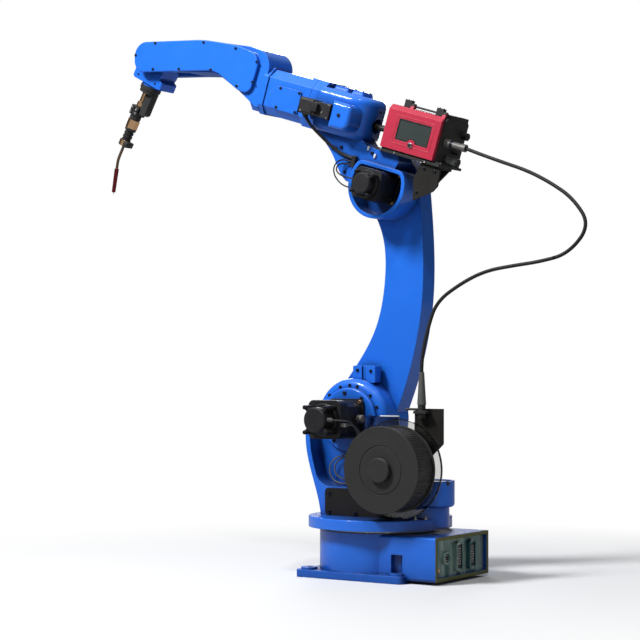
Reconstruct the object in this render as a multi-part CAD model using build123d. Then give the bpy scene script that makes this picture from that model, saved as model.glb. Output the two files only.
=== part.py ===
from build123d import *
import math
import os

# Six-axis arc-welding robot arm, in millimetres.
# Origin: the middle of the underside of the base, on the vertical slewing axis.
# +X points the way the arm reaches, +Y to the arm's left, +Z up.

# Joint axes, in the pose that is modelled
shoulder_x = 100
shoulder_z = 530
arm_length = 807
arm_lean = -8.55
forearm_pitch = 17.4
forearm_offset = 207.7
forearm_setback = 4
wrist_reach = 1088
tool_pitch = 61

# Base casting
foot_size = 420
foot_thickness = 25
foot_corner_radius = 14
foot_boss_radius = 28
foot_boss_height = 8
bolt_spacing = 350
bolt_hole_radius = 9
column_radius = 207
column_top = 158
connector_box_rear = -322
connector_box_half_width = 178
connector_box_bottom = 9
connector_box_top = 156
connector_box_wall = 12
connector_panel_recess = 14
connector_panel_thickness = 4
bearing_ring_radius = 188
bearing_ring_top = 167.5

# Slewing turret
turret_bottom = 168
turret_flange_top = 204
turret_flange_radius = 246
ear_radius = 142
ear_far_y = -42
ear_near_y = 38
ear_edge_radius = 26
motor_ring_radius = 110
motor_ring_height = 14
stop_far_y = -26
stop_near_y = 10
turret_near_y = 100
turret_foot_rear = -150
turret_foot_front = 178
cavity_floor = 302
cavity_wall = 18
cavity_corner_radius = 62
wall_top = 482
tail_rear = -261
tail_half_width = 76
tail_top = 242
cup_center_x = -203
cup_radius = 78
cup_top = 330
cup_wall = 8
cover_plate_thickness = 5

# Servo motors
shoulder_motor_size = 131
shoulder_motor_rise = 4
shoulder_motor_end = 196
shoulder_cap_end = 259
shoulder_cap_radius = 43
elbow_motor_size = 104
elbow_motor_end = 120
elbow_cap_end = 159
elbow_cap_radius = 36
roll_motor_size = 56
roll_motor_end = 340
roll_motor_y = 118
roll_motor_height = -11
roll_gear_rear = 124
roll_gear_front = 206
roll_gear_near_y = 142

# Wire reel on the turret
reel_x = -157
reel_z = 374
reel_radius = 144
reel_near_y = 250
reel_far_y = 142
reel_flange = 5
reel_hub_radius = 82
reel_wire_radius = 137
reel_core_radius = 62
reel_bore = 26
reel_disc_y = 132
reel_disc_radius = 165
reel_disc_thickness = 5
axle_radius = 25.6
axle_collar_radius = 40
bracket_thickness = 8
bracket_top = 574
gland_x = -242
gland_y = 130

# Lower arm
arm_near_y = -42.3
arm_far_y = -119
arm_foot_radius = 142
arm_head_radius = 113

# Elbow
elbow_half_width = 90
elbow_rear = 98
elbow_front = 345
housing_rear_radius = 84
elbow_top = 68
elbow_bottom = -82
elbow_collar_length = 45
pad_top = 78
pad_plate_thickness = 4
elbow_pad_places = [(258, 56), (188, 44)]
elbow_pad_width = 62
shroud_near_y = 60
shroud_far_y = -42
shroud_radius = 113
shroud_flat = -138
shroud_wall = 13
shroud_floor_y = -8
neck_near_y = 46

# Wire feeder
feeder_front = 15
feeder_rear = -205
feeder_top = 72
feeder_bottom = -75
feeder_half_width = 82
feeder_base_thickness = 6
lid_thickness = 16
lid_bevel = 15
lid_gap = 1
hinge_axis_y = 55
hinge_axis_height = 9
hinge_block_x = (-40, -168)
hinge_block_length = 28
hinge_rod_radius = 3.5
hinge_gap = 0.3
knuckle_length = 13
mount_plate_thickness = 9
bracket_near_y = 62
bracket_far_y = -14

# Forearm and wrist
forearm_half_width = 72
forearm_top = 79
forearm_bottom = -80
forearm_side_low = -52
forearm_side_high = 50
forearm_box_front = 600
forearm_rear_collar = 25
roll_spigot_radius = 66
roll_spigot_length = 10
forearm_collar_start = 540
forearm_front_collar = 22
cover_thickness = 14
cover_edge = 4
fork_half_gap = 48
fork_depth = 172
wrist_half_width = 45
wrist_hub_radius = 58
flange_start = 107
flange_face = 123
flange_radius = 40

# Torch, along the tool axis from the wrist centre
torch_offset = 22
torch_tail_radius = 10
clamp_start = 197
clamp_bar_top = 3
upper_nut_start = 250
barrel_start = 284
lower_nut_start = 335
neck_start = 357
neck_bend = (416, 0, torch_offset)
neck_end = (449, 0, 11)
nozzle_length = 90

# Conduit from the feeder down to the reel
conduit_diameter = 12
conduit_route_upper = [
    (-356, 36, 1432),
    (-400, 38, 1414),
    (-492, 40, 1379),
    (-586, 42, 1345),
    (-673, 47, 1300),
    (-753, 52, 1246),
    (-817, 61, 1158),
    (-746, 71, 1070),
    (-698, 74, 1059),
]
conduit_route_lower = [
    (-698, 74, 1059),
    (-650, 77, 1048),
    (-556, 80, 1038),
    (-458, 86, 1024),
    (-371, 90, 987),
    (-283, 103, 927),
    (-257, 115, 840),
    (-242, 130, 743),
    (-242, 130, 695),
]

# Cables held by the arm. The two at the shoulder are routed in the robot's frame,
# and those at the elbow in the forearm's.
motor_cable_diameter = 11
lead_diameter = 5
roll_motor_route = [
    (317, 112, -49),
    (306, 104, -66),
    (285, 94, -82),
    (262, 80, -98),
    (227, 66, -119),
    (185, 56, -136),
    (148, 52, -143),
    (126, 52, -143),
]
elbow_power_route = [
    (126, 53, -155),
    (146, 53, -155),
    (166, 61, -157),
    (176, 74, -172),
    (173, 85, -194),
    (156, 93, -214),
    (132, 99, -228),
    (109, 103, -236),
    (86, 104, -238),
    (66, 104, -238),
]
elbow_encoder_route = [
    (126, 53, -166),
    (144, 53, -166),
    (161, 64, -170),
    (167, 78, -183),
    (156, 89, -198),
    (134, 96, -206),
    (111, 101, -208),
    (88, 101, -206),
    (66, 101, -206),
]
shoulder_encoder_route = [
    (47, 228, 534),
    (34, 216, 533),
    (27, 194, 531),
    (26, 165, 529),
    (27, 137, 520),
    (30, 112, 504),
    (32, 92, 484),
    (36, 74, 460),
    (46, 60, 434),
    (68, 53, 415),
    (97, 54, 409),
    (127, 57, 405),
    (152, 62, 393),
    (165, 67, 368),
    (162, 68, 341),
    (147, 67, 321),
    (123, 67, 312),
    (98, 66, 311),
    (79, 61, 312),
    (66, 50, 312),
]
shoulder_power_route = [
    (20, 180, 516),
    (20, 160, 516),
    (18, 138, 511),
    (18, 117, 501),
    (20, 99, 486),
    (26, 85, 468),
    (36, 77, 448),
    (54, 73, 430),
    (78, 71, 415),
    (104, 73, 402),
    (127, 76, 388),
    (138, 78, 366),
    (134, 76, 345),
    (118, 73, 331),
    (96, 70, 327),
    (77, 62, 328),
    (64, 50, 328),
]


def side_point(base, degrees, along, across):
    turn = math.radians(degrees)
    x = base[0] + along * math.cos(turn) + across * math.sin(turn)
    z = base[1] - along * math.sin(turn) + across * math.cos(turn)
    return x, z


# Points where the axes meet the side plane, and the frames of the leaning parts
shoulder = (shoulder_x, shoulder_z)
elbow = side_point(shoulder, arm_lean, 0, arm_length)
roll_foot = side_point(elbow, -forearm_pitch, -forearm_setback, forearm_offset)
wrist = side_point(roll_foot, -forearm_pitch, wrist_reach, 0)
arm_frame = Location((shoulder[0], 0, shoulder[1]), (0, arm_lean, 0))
forearm_frame = Location((roll_foot[0], 0, roll_foot[1]), (0, -forearm_pitch, 0))
tool_frame = Location((wrist[0], 0, wrist[1]), (0, tool_pitch, 0))


def across(profile, low_y, high_y):
    """A profile drawn as (x, z), as thick as from low_y to high_y."""
    face = Pos(0, low_y, 0) * (Plane.XZ * profile)
    return extrude(face, amount=high_y - low_y, dir=(0, 1, 0))


def upright(profile, low_z, high_z):
    """A profile drawn as (x, y), from low_z to high_z."""
    return extrude(Pos(0, 0, low_z) * profile, amount=high_z - low_z)


def polygon(*points):
    return make_face(Polyline(*points, close=True))


def disc_across(x, z, radius, low_y, high_y):
    return across(Pos(x, z) * Circle(radius), low_y, high_y)


def rod_along(x_low, x_high, y, z, radius):
    """A round bar along X."""
    face = Pos(x_low, y, z) * (Plane.YZ * Circle(radius))
    return extrude(face, amount=x_high - x_low, dir=(1, 0, 0))


def ring_along(x_low, x_high, y, z, radius, bore):
    return rod_along(x_low, x_high, y, z, radius) - rod_along(x_low, x_high, y, z, bore)


def base_casting():
    foot = upright(RectangleRounded(foot_size, foot_size, foot_corner_radius), 0, foot_thickness)
    half = bolt_spacing / 2
    corners = [(x, y) for x in (-half, half) for y in (-half, half)]
    for x, y in corners:
        foot += Pos(x, y, foot_thickness) * Cylinder(
            foot_boss_radius, foot_boss_height, align=(Align.CENTER, Align.CENTER, Align.MIN)
        )
    column = upright(Circle(column_radius), foot_thickness, column_top)
    box_length = -connector_box_rear
    box = Pos(connector_box_rear, 0, connector_box_bottom) * Box(
        box_length,
        2 * connector_box_half_width,
        connector_box_top - connector_box_bottom,
        align=(Align.MIN, Align.CENTER, Align.MIN),
    )
    box = fillet(box.edges().filter_by(Axis.X), 10)
    wall = connector_box_wall
    room = Pos(connector_box_rear, 0, connector_box_bottom + wall) * Box(
        -connector_box_rear - column_radius,
        2 * (connector_box_half_width - wall),
        connector_box_top - connector_box_bottom - 2 * wall,
        align=(Align.MIN, Align.CENTER, Align.MIN),
    )
    body = foot + column + (box - room)
    seat = foot_thickness + foot_boss_height
    for x, y in corners:
        body -= Pos(x, y, 0) * Cylinder(bolt_hole_radius, 3 * seat)
        body -= Pos(x, y, seat) * Cylinder(
            foot_boss_radius - 6, 60, align=(Align.CENTER, Align.CENTER, Align.MIN)
        )
    return body


def connector_panel():
    wall = connector_box_wall
    low = connector_box_bottom + wall
    high = connector_box_top - wall
    return Pos(connector_box_rear + connector_panel_recess, 0, low) * Box(
        connector_panel_thickness,
        2 * (connector_box_half_width - wall),
        high - low,
        align=(Align.MIN, Align.CENTER, Align.MIN),
    )


def base_connectors():
    """Two rectangular plug housings and one round socket, on the panel."""
    face_x = connector_box_rear + connector_panel_recess
    middle = (connector_box_bottom + connector_box_top) / 2
    found = []
    for y in (-78, 10):
        housing = Pos(face_x, y, middle) * Box(11, 44, 92, align=(Align.MAX, Align.CENTER, Align.CENTER))
        housing = fillet(housing.edges().filter_by(Axis.X), 5)
        housing -= Pos(face_x - 11, y, middle) * Box(12, 32, 78)
        found.append(housing)
    found.append(ring_along(face_x - 10, face_x, 92, middle, 22, 15))
    return Compound(found)


def bearing_ring():
    return upright(Circle(bearing_ring_radius), column_top, bearing_ring_top)


def turret_side(inset=0):
    """Side view of the shoulder cheek, from the flange to the top of its wall."""
    low = turret_flange_top - 8
    front = shoulder_x + ear_radius - inset
    rear = shoulder_x - ear_radius + inset
    foot_front = (turret_foot_front - inset, low)
    foot_rear = (turret_foot_rear + inset, low)
    return make_face(
        Line(foot_rear, foot_front)
        + Spline(foot_front, (209 - inset, 321), (236 - inset, 415), (front, wall_top))
        + Line((front, wall_top), (rear, wall_top))
        + Spline((rear, wall_top), (-62 + inset, 420), (-112 + inset, 300), foot_rear)
    )


def turret_ear():
    """Shoulder disc that stands on the cheek, with its near edge rounded."""
    height = shoulder_z - wall_top
    outline = Pos(shoulder_x, shoulder_z) * Circle(ear_radius)
    outline += Pos(shoulder_x, shoulder_z - height / 2) * Rectangle(2 * ear_radius, height)
    outline -= Pos(shoulder_x, wall_top - 200) * Rectangle(800, 400)
    ear = across(outline, ear_far_y, ear_near_y)
    rim = ear.edges().group_by(Axis.Y)[-1].filter_by(lambda edge: edge.center().Z > wall_top + 1)
    return fillet(rim, ear_edge_radius)


def motor_ring():
    ring = disc_across(
        shoulder_x, shoulder_z, motor_ring_radius, ear_near_y, ear_near_y + motor_ring_height
    )
    return fillet(ring.edges().group_by(Axis.Y)[-1], 7)


def tail_outline(rear, half_width, front=-90):
    """Plan of the housing behind the turret: a half round rear end and straight sides."""
    middle = rear + half_width
    block = Pos((middle + front) / 2, 0) * Rectangle(front - middle, 2 * half_width)
    return Pos(middle, 0) * Circle(half_width) + block


def turret_casting():
    flange = upright(Circle(turret_flange_radius), turret_bottom, turret_flange_top)
    flange = fillet(flange.edges().group_by(Axis.Z)[-1], 4)
    tail = upright(tail_outline(tail_rear, tail_half_width), turret_bottom + 8, tail_top)
    cheek = across(turret_side(), ear_far_y, turret_near_y)
    pocket = across(turret_side(cavity_wall), ear_near_y, turret_near_y + 50)
    pocket &= Pos(0, 0, cavity_floor) * Box(900, 900, 900, align=(Align.CENTER, Align.CENTER, Align.MIN))
    low_corners = pocket.edges().filter_by(
        lambda edge: edge.center().Z < cavity_floor + 1 and abs(edge.tangent_at(0.5).Y) > 0.9
    )
    pocket = fillet(low_corners, cavity_corner_radius)
    return flange + tail + (cheek - pocket) + turret_ear() + motor_ring()


def slew_motor_cup():
    """Cup that holds the slewing motor, shaped to the cheek that it stands against."""
    cup = upright(tail_outline(cup_center_x - cup_radius, cup_radius), tail_top, cup_top)
    round_end = cup.edges().group_by(Axis.Z)[0].filter_by(GeomType.CIRCLE)
    cup = fillet(round_end, 12)
    clear = 0.3
    cup -= across(turret_side(-clear), ear_far_y - clear, turret_near_y)
    cup -= Pos(cup_center_x, 0, cup_top - 14) * Cylinder(
        cup_radius - cup_wall, 30, align=(Align.CENTER, Align.CENTER, Align.MIN)
    )
    return cup


def slew_motor_cap():
    cap = Pos(cup_center_x, 0, cup_top - 14) * Cylinder(
        cup_radius - cup_wall - 0.5, 9, align=(Align.CENTER, Align.CENTER, Align.MIN)
    )
    return chamfer(cap.edges().group_by(Axis.Z)[-1], 3)


def slew_cover_plate():
    outline = Pos(14, 251) * RectangleRounded(288, 93, 14)
    return across(outline, turret_near_y, turret_near_y + cover_plate_thickness)


def servo_motor(x, z, size, start_y, end_y):
    """Square servo motor: mounting flange, body with cut corners, rounded end bell."""
    flange = RectangleRounded(size + 5, size + 5, 14)
    body = chamfer(Rectangle(size - 8, size - 8).vertices(), size / 7)
    bell = RectangleRounded(size, size, size / 6)
    bell_start = end_y - 0.3 * (end_y - start_y)
    motor = across(Pos(x, z) * flange, start_y, start_y + 11)
    motor += across(Pos(x, z) * body, start_y, bell_start)
    return motor + across(Pos(x, z) * bell, bell_start, end_y)


def encoder_cap(x, z, size, radius, start_y, end_y):
    """Round cover on a motor's end, on a stepped foot with a screw lug at each corner."""
    cover = disc_across(x, z, radius, start_y, end_y)
    cover = chamfer(cover.edges().group_by(Axis.Y)[-1], 4)
    foot = disc_across(x, z, radius + 12, start_y, start_y + 10)
    foot = chamfer(foot.edges().group_by(Axis.Y)[-1], 3)
    lug_step = 0.32 * size
    lugs = [
        disc_across(x + side_x * lug_step, z + side_z * lug_step, size / 18, start_y, end_y - 5)
        for side_x in (-1, 1)
        for side_z in (-1, 1)
    ]
    cross = Rectangle(2.8 * lug_step, size / 12) + Rectangle(size / 12, 2.8 * lug_step)
    webs = across(Pos(x, z) * Rot(0, 0, 45) * cross, start_y, end_y - 9)
    return cover + foot + lugs + webs


def shoulder_motor():
    return servo_motor(
        shoulder_x,
        shoulder_z + shoulder_motor_rise,
        shoulder_motor_size,
        ear_near_y + motor_ring_height,
        shoulder_motor_end,
    )


def shoulder_motor_cap():
    return encoder_cap(
        shoulder_x,
        shoulder_z + shoulder_motor_rise,
        shoulder_motor_size,
        shoulder_cap_radius,
        shoulder_motor_end,
        shoulder_cap_end,
    )


def shoulder_stop():
    outline = Pos(60, 686) * RectangleRounded(90, 60, 6)
    block = across(outline, stop_far_y, stop_near_y)
    block -= Pos(60, stop_near_y, 686) * Box(18, 12, 80)
    return block - disc_across(shoulder_x, shoulder_z, ear_radius, stop_far_y - 5, stop_near_y + 5)


def reel_bracket():
    """Steel plate on the turret that carries the reel's axle and the conduit's gland."""
    outline = polygon(
        (-60, 225),
        (-60, 440),
        (-205, 500),
        (-205, bracket_top),
        (-312, bracket_top),
        (-312, 458),
        (-276, 424),
        (-125, 225),
    )
    seat = turret_near_y + cover_plate_thickness
    return across(outline, seat, seat + bracket_thickness)


def reel_axle():
    low = turret_near_y + cover_plate_thickness + bracket_thickness
    axle = disc_across(reel_x, reel_z, axle_radius, low, reel_near_y + 4)
    collar = disc_across(reel_x, reel_z, axle_collar_radius, low, reel_far_y - 1)
    knob = disc_across(reel_x, reel_z, 41, reel_near_y + 2, reel_near_y + 18)
    knob = chamfer(knob.edges().group_by(Axis.Y)[-1], 3)
    return axle + collar + knob


def reel_guard():
    """Clear disc between the reel and its bracket."""
    disc = disc_across(reel_x, reel_z, reel_disc_radius, reel_disc_y, reel_disc_y + reel_disc_thickness)
    return disc - disc_across(reel_x, reel_z, axle_collar_radius + 0.5, reel_disc_y - 5, reel_disc_y + 10)


def wire_reel():
    """Spool: two flanges, a core and a raised hub, with the flanges' rims rounded."""
    far = disc_across(reel_x, reel_z, reel_radius, reel_far_y, reel_far_y + reel_flange)
    near = disc_across(reel_x, reel_z, reel_radius, reel_near_y - reel_flange, reel_near_y)
    near = chamfer(near.edges().group_by(Axis.Y)[-1], 1.5)
    groove = disc_across(reel_x, reel_z, reel_hub_radius, reel_near_y - 1.5, reel_near_y + 5)
    groove -= disc_across(reel_x, reel_z, reel_hub_radius - 4, reel_near_y - 5, reel_near_y + 5)
    core = disc_across(reel_x, reel_z, reel_core_radius, reel_far_y, reel_near_y)
    bore = disc_across(reel_x, reel_z, reel_bore, reel_far_y - 5, reel_near_y + 5)
    return far + near + core - groove - bore


def reel_wire():
    low = reel_far_y + reel_flange
    high = reel_near_y - reel_flange
    wound = disc_across(reel_x, reel_z, reel_wire_radius, low, high)
    return wound - disc_across(reel_x, reel_z, reel_core_radius, low, high)


def conduit_gland():
    """Tapered black boot on a hexagonal fitting, which the conduit enters."""
    upward = (Align.CENTER, Align.CENTER, Align.MIN)
    boot_start = bracket_top + 13
    boot = Pos(gland_x, gland_y, boot_start) * Cone(
        15, 8.5, conduit_route_lower[-1][2] - boot_start, align=upward
    )
    nut = upright(Pos(gland_x, gland_y) * RegularPolygon(15, 6), bracket_top - 30, boot_start)
    plate_y = turret_near_y + cover_plate_thickness + bracket_thickness
    shelf = Pos(gland_x - 2, plate_y, bracket_top - 16) * Box(
        47, 36, 9, align=(Align.CENTER, Align.MIN, Align.MIN)
    )
    spout = rod_along(gland_x + 12, gland_x + 60, gland_y, bracket_top - 2, 4)
    return boot + nut + shelf + spout


def arm_casting():
    """Bowed lower arm, drawn upright and then leaned back on the shoulder axis."""
    foot = Circle(arm_foot_radius)
    head = Pos(0, arm_length) * Circle(arm_head_radius)
    web = make_face(
        Spline((-132, 40), (-172, 250), (-178, 430), (-150, 640), (-112, arm_length))
        + Polyline((-112, arm_length), (96, arm_length - 60))
        + Spline((96, arm_length - 60), (0, 607), (-20, 480), (-7, 320), (47, 190), (118, 70))
        + Polyline((118, 70), (-132, 40))
    )
    body = across(foot + web + head, arm_far_y, arm_near_y)
    return arm_frame * body


def arm_foot_cover():
    cover = disc_across(0, 0, 96, arm_far_y - 9, arm_far_y)
    return arm_frame * chamfer(cover.edges().group_by(Axis.Y)[0], 3)


def arm_head_cover():
    cover = disc_across(0, arm_length, 74, arm_far_y - 9, arm_far_y)
    return arm_frame * chamfer(cover.edges().group_by(Axis.Y)[0], 3)


def box_section(half_width, high, side_high, low, side_low, step=0):
    """Cross-section of the forearm's box, drawn as (y, z): its four long corners are cut."""
    cut_high = high - side_high
    cut_low = side_low - low
    return polygon(
        (half_width + step, side_high),
        (half_width - cut_high + step, high + step),
        (-half_width + cut_high - step, high + step),
        (-half_width - step, side_high),
        (-half_width - step, side_low),
        (-half_width + cut_low - step, low - step),
        (half_width - cut_low + step, low - step),
        (half_width + step, side_low),
    )


def box_along(x_low, x_high, step=0):
    section = box_section(
        forearm_half_width, forearm_top, forearm_side_high, forearm_bottom, forearm_side_low, step
    )
    return extrude(Pos(x_low, 0, 0) * (Plane.YZ * section), amount=x_high - x_low, dir=(1, 0, 0))


def shroud_outline(inset=0):
    """Round motor shroud with a flat top and rounded shoulders."""
    outline = Pos(forearm_setback, -forearm_offset) * Circle(shroud_radius - inset)
    outline -= Pos(0, shroud_flat - inset + 200) * Rectangle(800, 400)
    return fillet(outline.vertices(), 32 - inset)


def roll_housing():
    """Housing of the forearm's roll drive, half round at its rear end."""
    housing = Pos(elbow_rear, 0, elbow_bottom) * Box(
        elbow_front - elbow_collar_length - elbow_rear,
        2 * elbow_half_width,
        elbow_top - elbow_bottom,
        align=(Align.MIN, Align.CENTER, Align.MIN),
    )
    housing = fillet(housing.edges().filter_by(Axis.Z).group_by(Axis.X)[0], housing_rear_radius)
    return fillet(housing.edges().filter_by(Axis.X), 26)


def elbow_casting():
    """Roll housing on its neck, with the elbow motor's open shroud below it."""
    housing = roll_housing() - rod_along(elbow_rear - 5, elbow_rear + 30, 0, -20, 26)
    collar = box_along(elbow_front - elbow_collar_length, elbow_front, 6)
    spigot_seat = rod_along(elbow_front - roll_spigot_length - 1, elbow_front + 5, 0, 0, roll_spigot_radius)
    neck_top = feeder_bottom - feeder_base_thickness - mount_plate_thickness
    front_edge = [(325, -80), (262, -116), (212, -156), (174, -198), (135, -225)]
    neck = make_face(
        Polyline((135, -225), (-20, -225), (-52, -110), (-40, neck_top), (94, neck_top), (130, -60))
        + Polyline((130, -60), (325, -60), (325, -80))
        + Spline(*front_edge)
    )
    web = across(neck, shroud_far_y, neck_near_y)
    shroud = across(shroud_outline(), shroud_far_y, shroud_near_y)
    recess = across(shroud_outline(shroud_wall), shroud_floor_y, shroud_near_y + 5)
    bosses = [
        Pos(x, 0, elbow_top - 8)
        * extrude(
            RectangleRounded(length + 16, elbow_pad_width + 16, 12),
            amount=pad_top - elbow_top + 8,
            taper=24,
        )
        for x, length in elbow_pad_places
    ]
    return forearm_frame * (housing + collar + bosses + web + shroud - recess - spigot_seat)


def elbow_motor():
    motor = servo_motor(
        forearm_setback, -forearm_offset, elbow_motor_size, shroud_floor_y, elbow_motor_end
    )
    return forearm_frame * motor


def elbow_motor_cap():
    cap = encoder_cap(
        forearm_setback,
        -forearm_offset,
        elbow_motor_size,
        elbow_cap_radius,
        elbow_motor_end,
        elbow_cap_end,
    )
    return forearm_frame * cap


def roll_gear_housing():
    """Rounded gear case on the elbow's near side, which carries the roll motor."""
    low_y = neck_near_y + 2
    case = Pos(roll_gear_rear, low_y, roll_motor_height - 3) * Box(
        roll_gear_front - roll_gear_rear,
        roll_gear_near_y - low_y,
        92,
        align=(Align.MIN, Align.MIN, Align.CENTER),
    )
    case = fillet(case.edges().filter_by(Axis.Y).group_by(Axis.X)[0], 28)
    case = fillet(case.edges().group_by(Axis.Y)[-1], 14)
    return forearm_frame * (case - roll_housing())


def roll_motor():
    """Motor with a body between two slightly larger ends, and a socket on its near face."""
    size = roll_motor_size
    length = roll_motor_end - roll_gear_front
    full = Pos(roll_gear_front, roll_motor_y, roll_motor_height) * Box(
        length, size, size, align=(Align.MIN, Align.CENTER, Align.CENTER)
    )
    full = fillet(full.edges().filter_by(Axis.X), 9)
    bell = fillet(full.edges().group_by(Axis.X)[-1], 8)
    waist = Pos(roll_gear_front + 14, roll_motor_y, roll_motor_height) * Box(
        60, 2 * size, 2 * size, align=(Align.MIN, Align.CENTER, Align.CENTER)
    )
    waist -= Pos(roll_gear_front, roll_motor_y, roll_motor_height) * Box(
        length, size - 6, size - 6, align=(Align.MIN, Align.CENTER, Align.CENTER)
    )
    socket = Pos(roll_gear_front + 62, roll_motor_y + size / 2 - 3, roll_motor_height + 4) * Box(
        30, 15, 30, align=(Align.CENTER, Align.MIN, Align.CENTER)
    )
    socket = fillet(socket.edges().filter_by(Axis.Y), 6)
    return forearm_frame * (bell - waist + socket)


def elbow_pads():
    """Thin cover plates on the two bosses on top of the roll housing."""
    plates = [
        Pos(x, 0, pad_top)
        * extrude(RectangleRounded(length, elbow_pad_width, 6), amount=pad_plate_thickness)
        for x, length in elbow_pad_places
    ]
    return forearm_frame * Compound(plates)


def feeder_mount_plate():
    top = feeder_bottom - feeder_base_thickness
    plate = Pos(feeder_front + 20, 0, top - mount_plate_thickness) * Box(
        260, 150, mount_plate_thickness, align=(Align.MAX, Align.CENTER, Align.MIN)
    )
    return forearm_frame * plate


def feeder_bracket():
    top = feeder_bottom - feeder_base_thickness - mount_plate_thickness
    outline = polygon((-148, top), (-225, top), (-231, -152), (-218, -174), (-153, -220), (-134, -150))
    plate = across(outline, bracket_near_y - 8, bracket_near_y)
    rib = across(polygon((-148, top), (-225, top), (-160, -190)), bracket_far_y, bracket_far_y + 8)
    tie_outline = polygon((-150, top), (-225, top), (-225, top - 8), (-150, top - 8))
    tie = across(tie_outline, bracket_far_y, bracket_near_y - 8)
    return forearm_frame * (plate + rib + tie)


def feeder_body():
    near_y = feeder_half_width - lid_thickness - lid_gap
    body = Pos(feeder_rear, -feeder_half_width, feeder_bottom) * Box(
        feeder_front - feeder_rear,
        feeder_half_width + near_y,
        feeder_top - feeder_bottom,
        align=(Align.MIN, Align.MIN, Align.MIN),
    )
    body = chamfer(body.edges().filter_by(Axis.X).group_by(Axis.Z)[-1], 9)
    base = Pos(feeder_rear - 12, 0, feeder_bottom) * Box(
        feeder_front - feeder_rear + 12,
        140,
        feeder_base_thickness,
        align=(Align.MIN, Align.CENTER, Align.MAX),
    )
    return forearm_frame * (body + base)


def feeder_hinge():
    """Two hinge blocks on top of the feeder, with the rod that the lid turns on."""
    blocks = [
        Pos(x, hinge_axis_y - 1, feeder_top)
        * Box(hinge_block_length, 16, 26, align=(Align.CENTER, Align.CENTER, Align.MIN))
        for x in hinge_block_x
    ]
    rod_start = hinge_block_x[1] - hinge_block_length / 2 - knuckle_length - 4
    height = feeder_top + hinge_axis_height
    rod = rod_along(rod_start, hinge_block_x[0], hinge_axis_y, height, hinge_rod_radius)
    return forearm_frame * (rod + blocks)


def lid_knuckle(x_high):
    """Eye that joins the lid to the hinge rod."""
    height = feeder_top + hinge_axis_height
    eye = polygon(
        (feeder_half_width - lid_thickness, 66),
        (69, 70),
        (60, height + 7),
        (51, height + 7),
        (48, height),
        (51, height - 6),
        (61, 76),
    )
    knuckle = extrude(Plane.YZ * eye, amount=knuckle_length, dir=(-1, 0, 0))
    bore = rod_along(-2 * knuckle_length, knuckle_length, hinge_axis_y, height, hinge_rod_radius + hinge_gap)
    return Pos(x_high, 0, 0) * (knuckle - bore)


def feeder_lid():
    low_y = feeder_half_width - lid_thickness
    outline = Plane.YZ * polygon(
        (low_y, feeder_bottom),
        (feeder_half_width, feeder_bottom),
        (feeder_half_width, feeder_top - lid_bevel),
        (feeder_half_width - lid_bevel, feeder_top),
        (low_y, feeder_top),
    )
    lid = extrude(Pos(feeder_rear + 8, 0, 0) * outline, amount=feeder_front - feeder_rear - 8, dir=(1, 0, 0))
    lid -= across(feeder_window_outline(), feeder_half_width - 3, feeder_half_width + 3)
    for x in hinge_block_x:
        lid += lid_knuckle(x - hinge_block_length / 2 - 0.5)
    return forearm_frame * lid


def feeder_window_outline():
    window = Pos(-101, -4) * RectangleRounded(132, 72, 5)
    return window - Pos(-101, -44) * Circle(17)


def feeder_window():
    return forearm_frame * across(
        feeder_window_outline(), feeder_half_width - 3, feeder_half_width - 1
    )


def feeder_lock():
    lock = disc_across(-101, -46, 9, feeder_half_width, feeder_half_width + 6)
    return forearm_frame * chamfer(lock.edges().group_by(Axis.Y)[-1], 1.5)


def feeder_inlet():
    tube = ring_along(-270, feeder_rear, 36, -8, 11, 7)
    collar = ring_along(-226, feeder_rear, 36, -8, 15, 7)
    tip = ring_along(-286, -270, 36, -8, 13, 6.2)
    return forearm_frame * (tube + collar + tip)


def feeder_fittings():
    """Plug connectors on the feeder's rear face: (y, z, radius, length) of each."""
    places = [(-62, 26, 13, 22), (-22, -33, 8, 26), (4, -62, 9, 46)]
    fittings = [
        chamfer(rod_along(feeder_rear - length, feeder_rear, y, z, radius).edges().group_by(Axis.X)[0], 2)
        for y, z, radius, length in places
    ]
    return forearm_frame * Compound(fittings)


def torch_cable():
    cable = rod_along(feeder_front, elbow_rear + 30, 0, -20, 11)
    return forearm_frame * cable


def forearm_body_outline():
    """Side view of the thick part of the forearm, as a path with rounded corners."""
    corners = [(551, 130), (655, 134), (860, 114), (1166, 44)]
    corners += [(1148, -62), (776, 14), (655, -28), (552, -74)]
    radii = [64, 200, 500, 56, 48, 110, 60, 16]
    return make_face(FilletPolyline(*corners, radius=radii, close=True))


def forearm_casting():
    """Belt arm: eight-sided box at the roll joint, thick body, and a fork for the wrist."""
    box = box_along(elbow_front + 1, forearm_box_front)
    rear_collar = box_along(elbow_front + 1, elbow_front + 1 + forearm_rear_collar, 6)
    front_collar = box_along(forearm_collar_start, forearm_collar_start + forearm_front_collar, 5)
    body = across(forearm_body_outline(), -forearm_half_width, forearm_half_width)
    spigot = rod_along(elbow_front - roll_spigot_length, elbow_front + 5, 0, 0, roll_spigot_radius - 0.5)
    fork = across(
        Pos(wrist_reach - fork_depth + 200, 0) * Rectangle(400, 400), -fork_half_gap, fork_half_gap
    )
    return forearm_frame * (box + rear_collar + front_collar + spigot + body - fork)


def forearm_cover(side):
    """Boomerang-shaped cover over the belt drive, on one side of the forearm."""
    corners = [(592, 118), (715, 127), (860, 115), (1172, 41)]
    corners += [(1142, -66), (776, 20), (655, -26), (600, -30)]
    radii = [54, 300, 500, 52, 46, 110, 60, 32]
    outline = make_face(FilletPolyline(*corners, radius=radii, close=True))
    cover = across(outline, forearm_half_width, forearm_half_width + cover_thickness)
    cover = fillet(cover.edges().group_by(Axis.Y)[-1], cover_edge)
    if side < 0:
        cover = mirror(cover, about=Plane.XZ)
    return forearm_frame * cover


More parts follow.
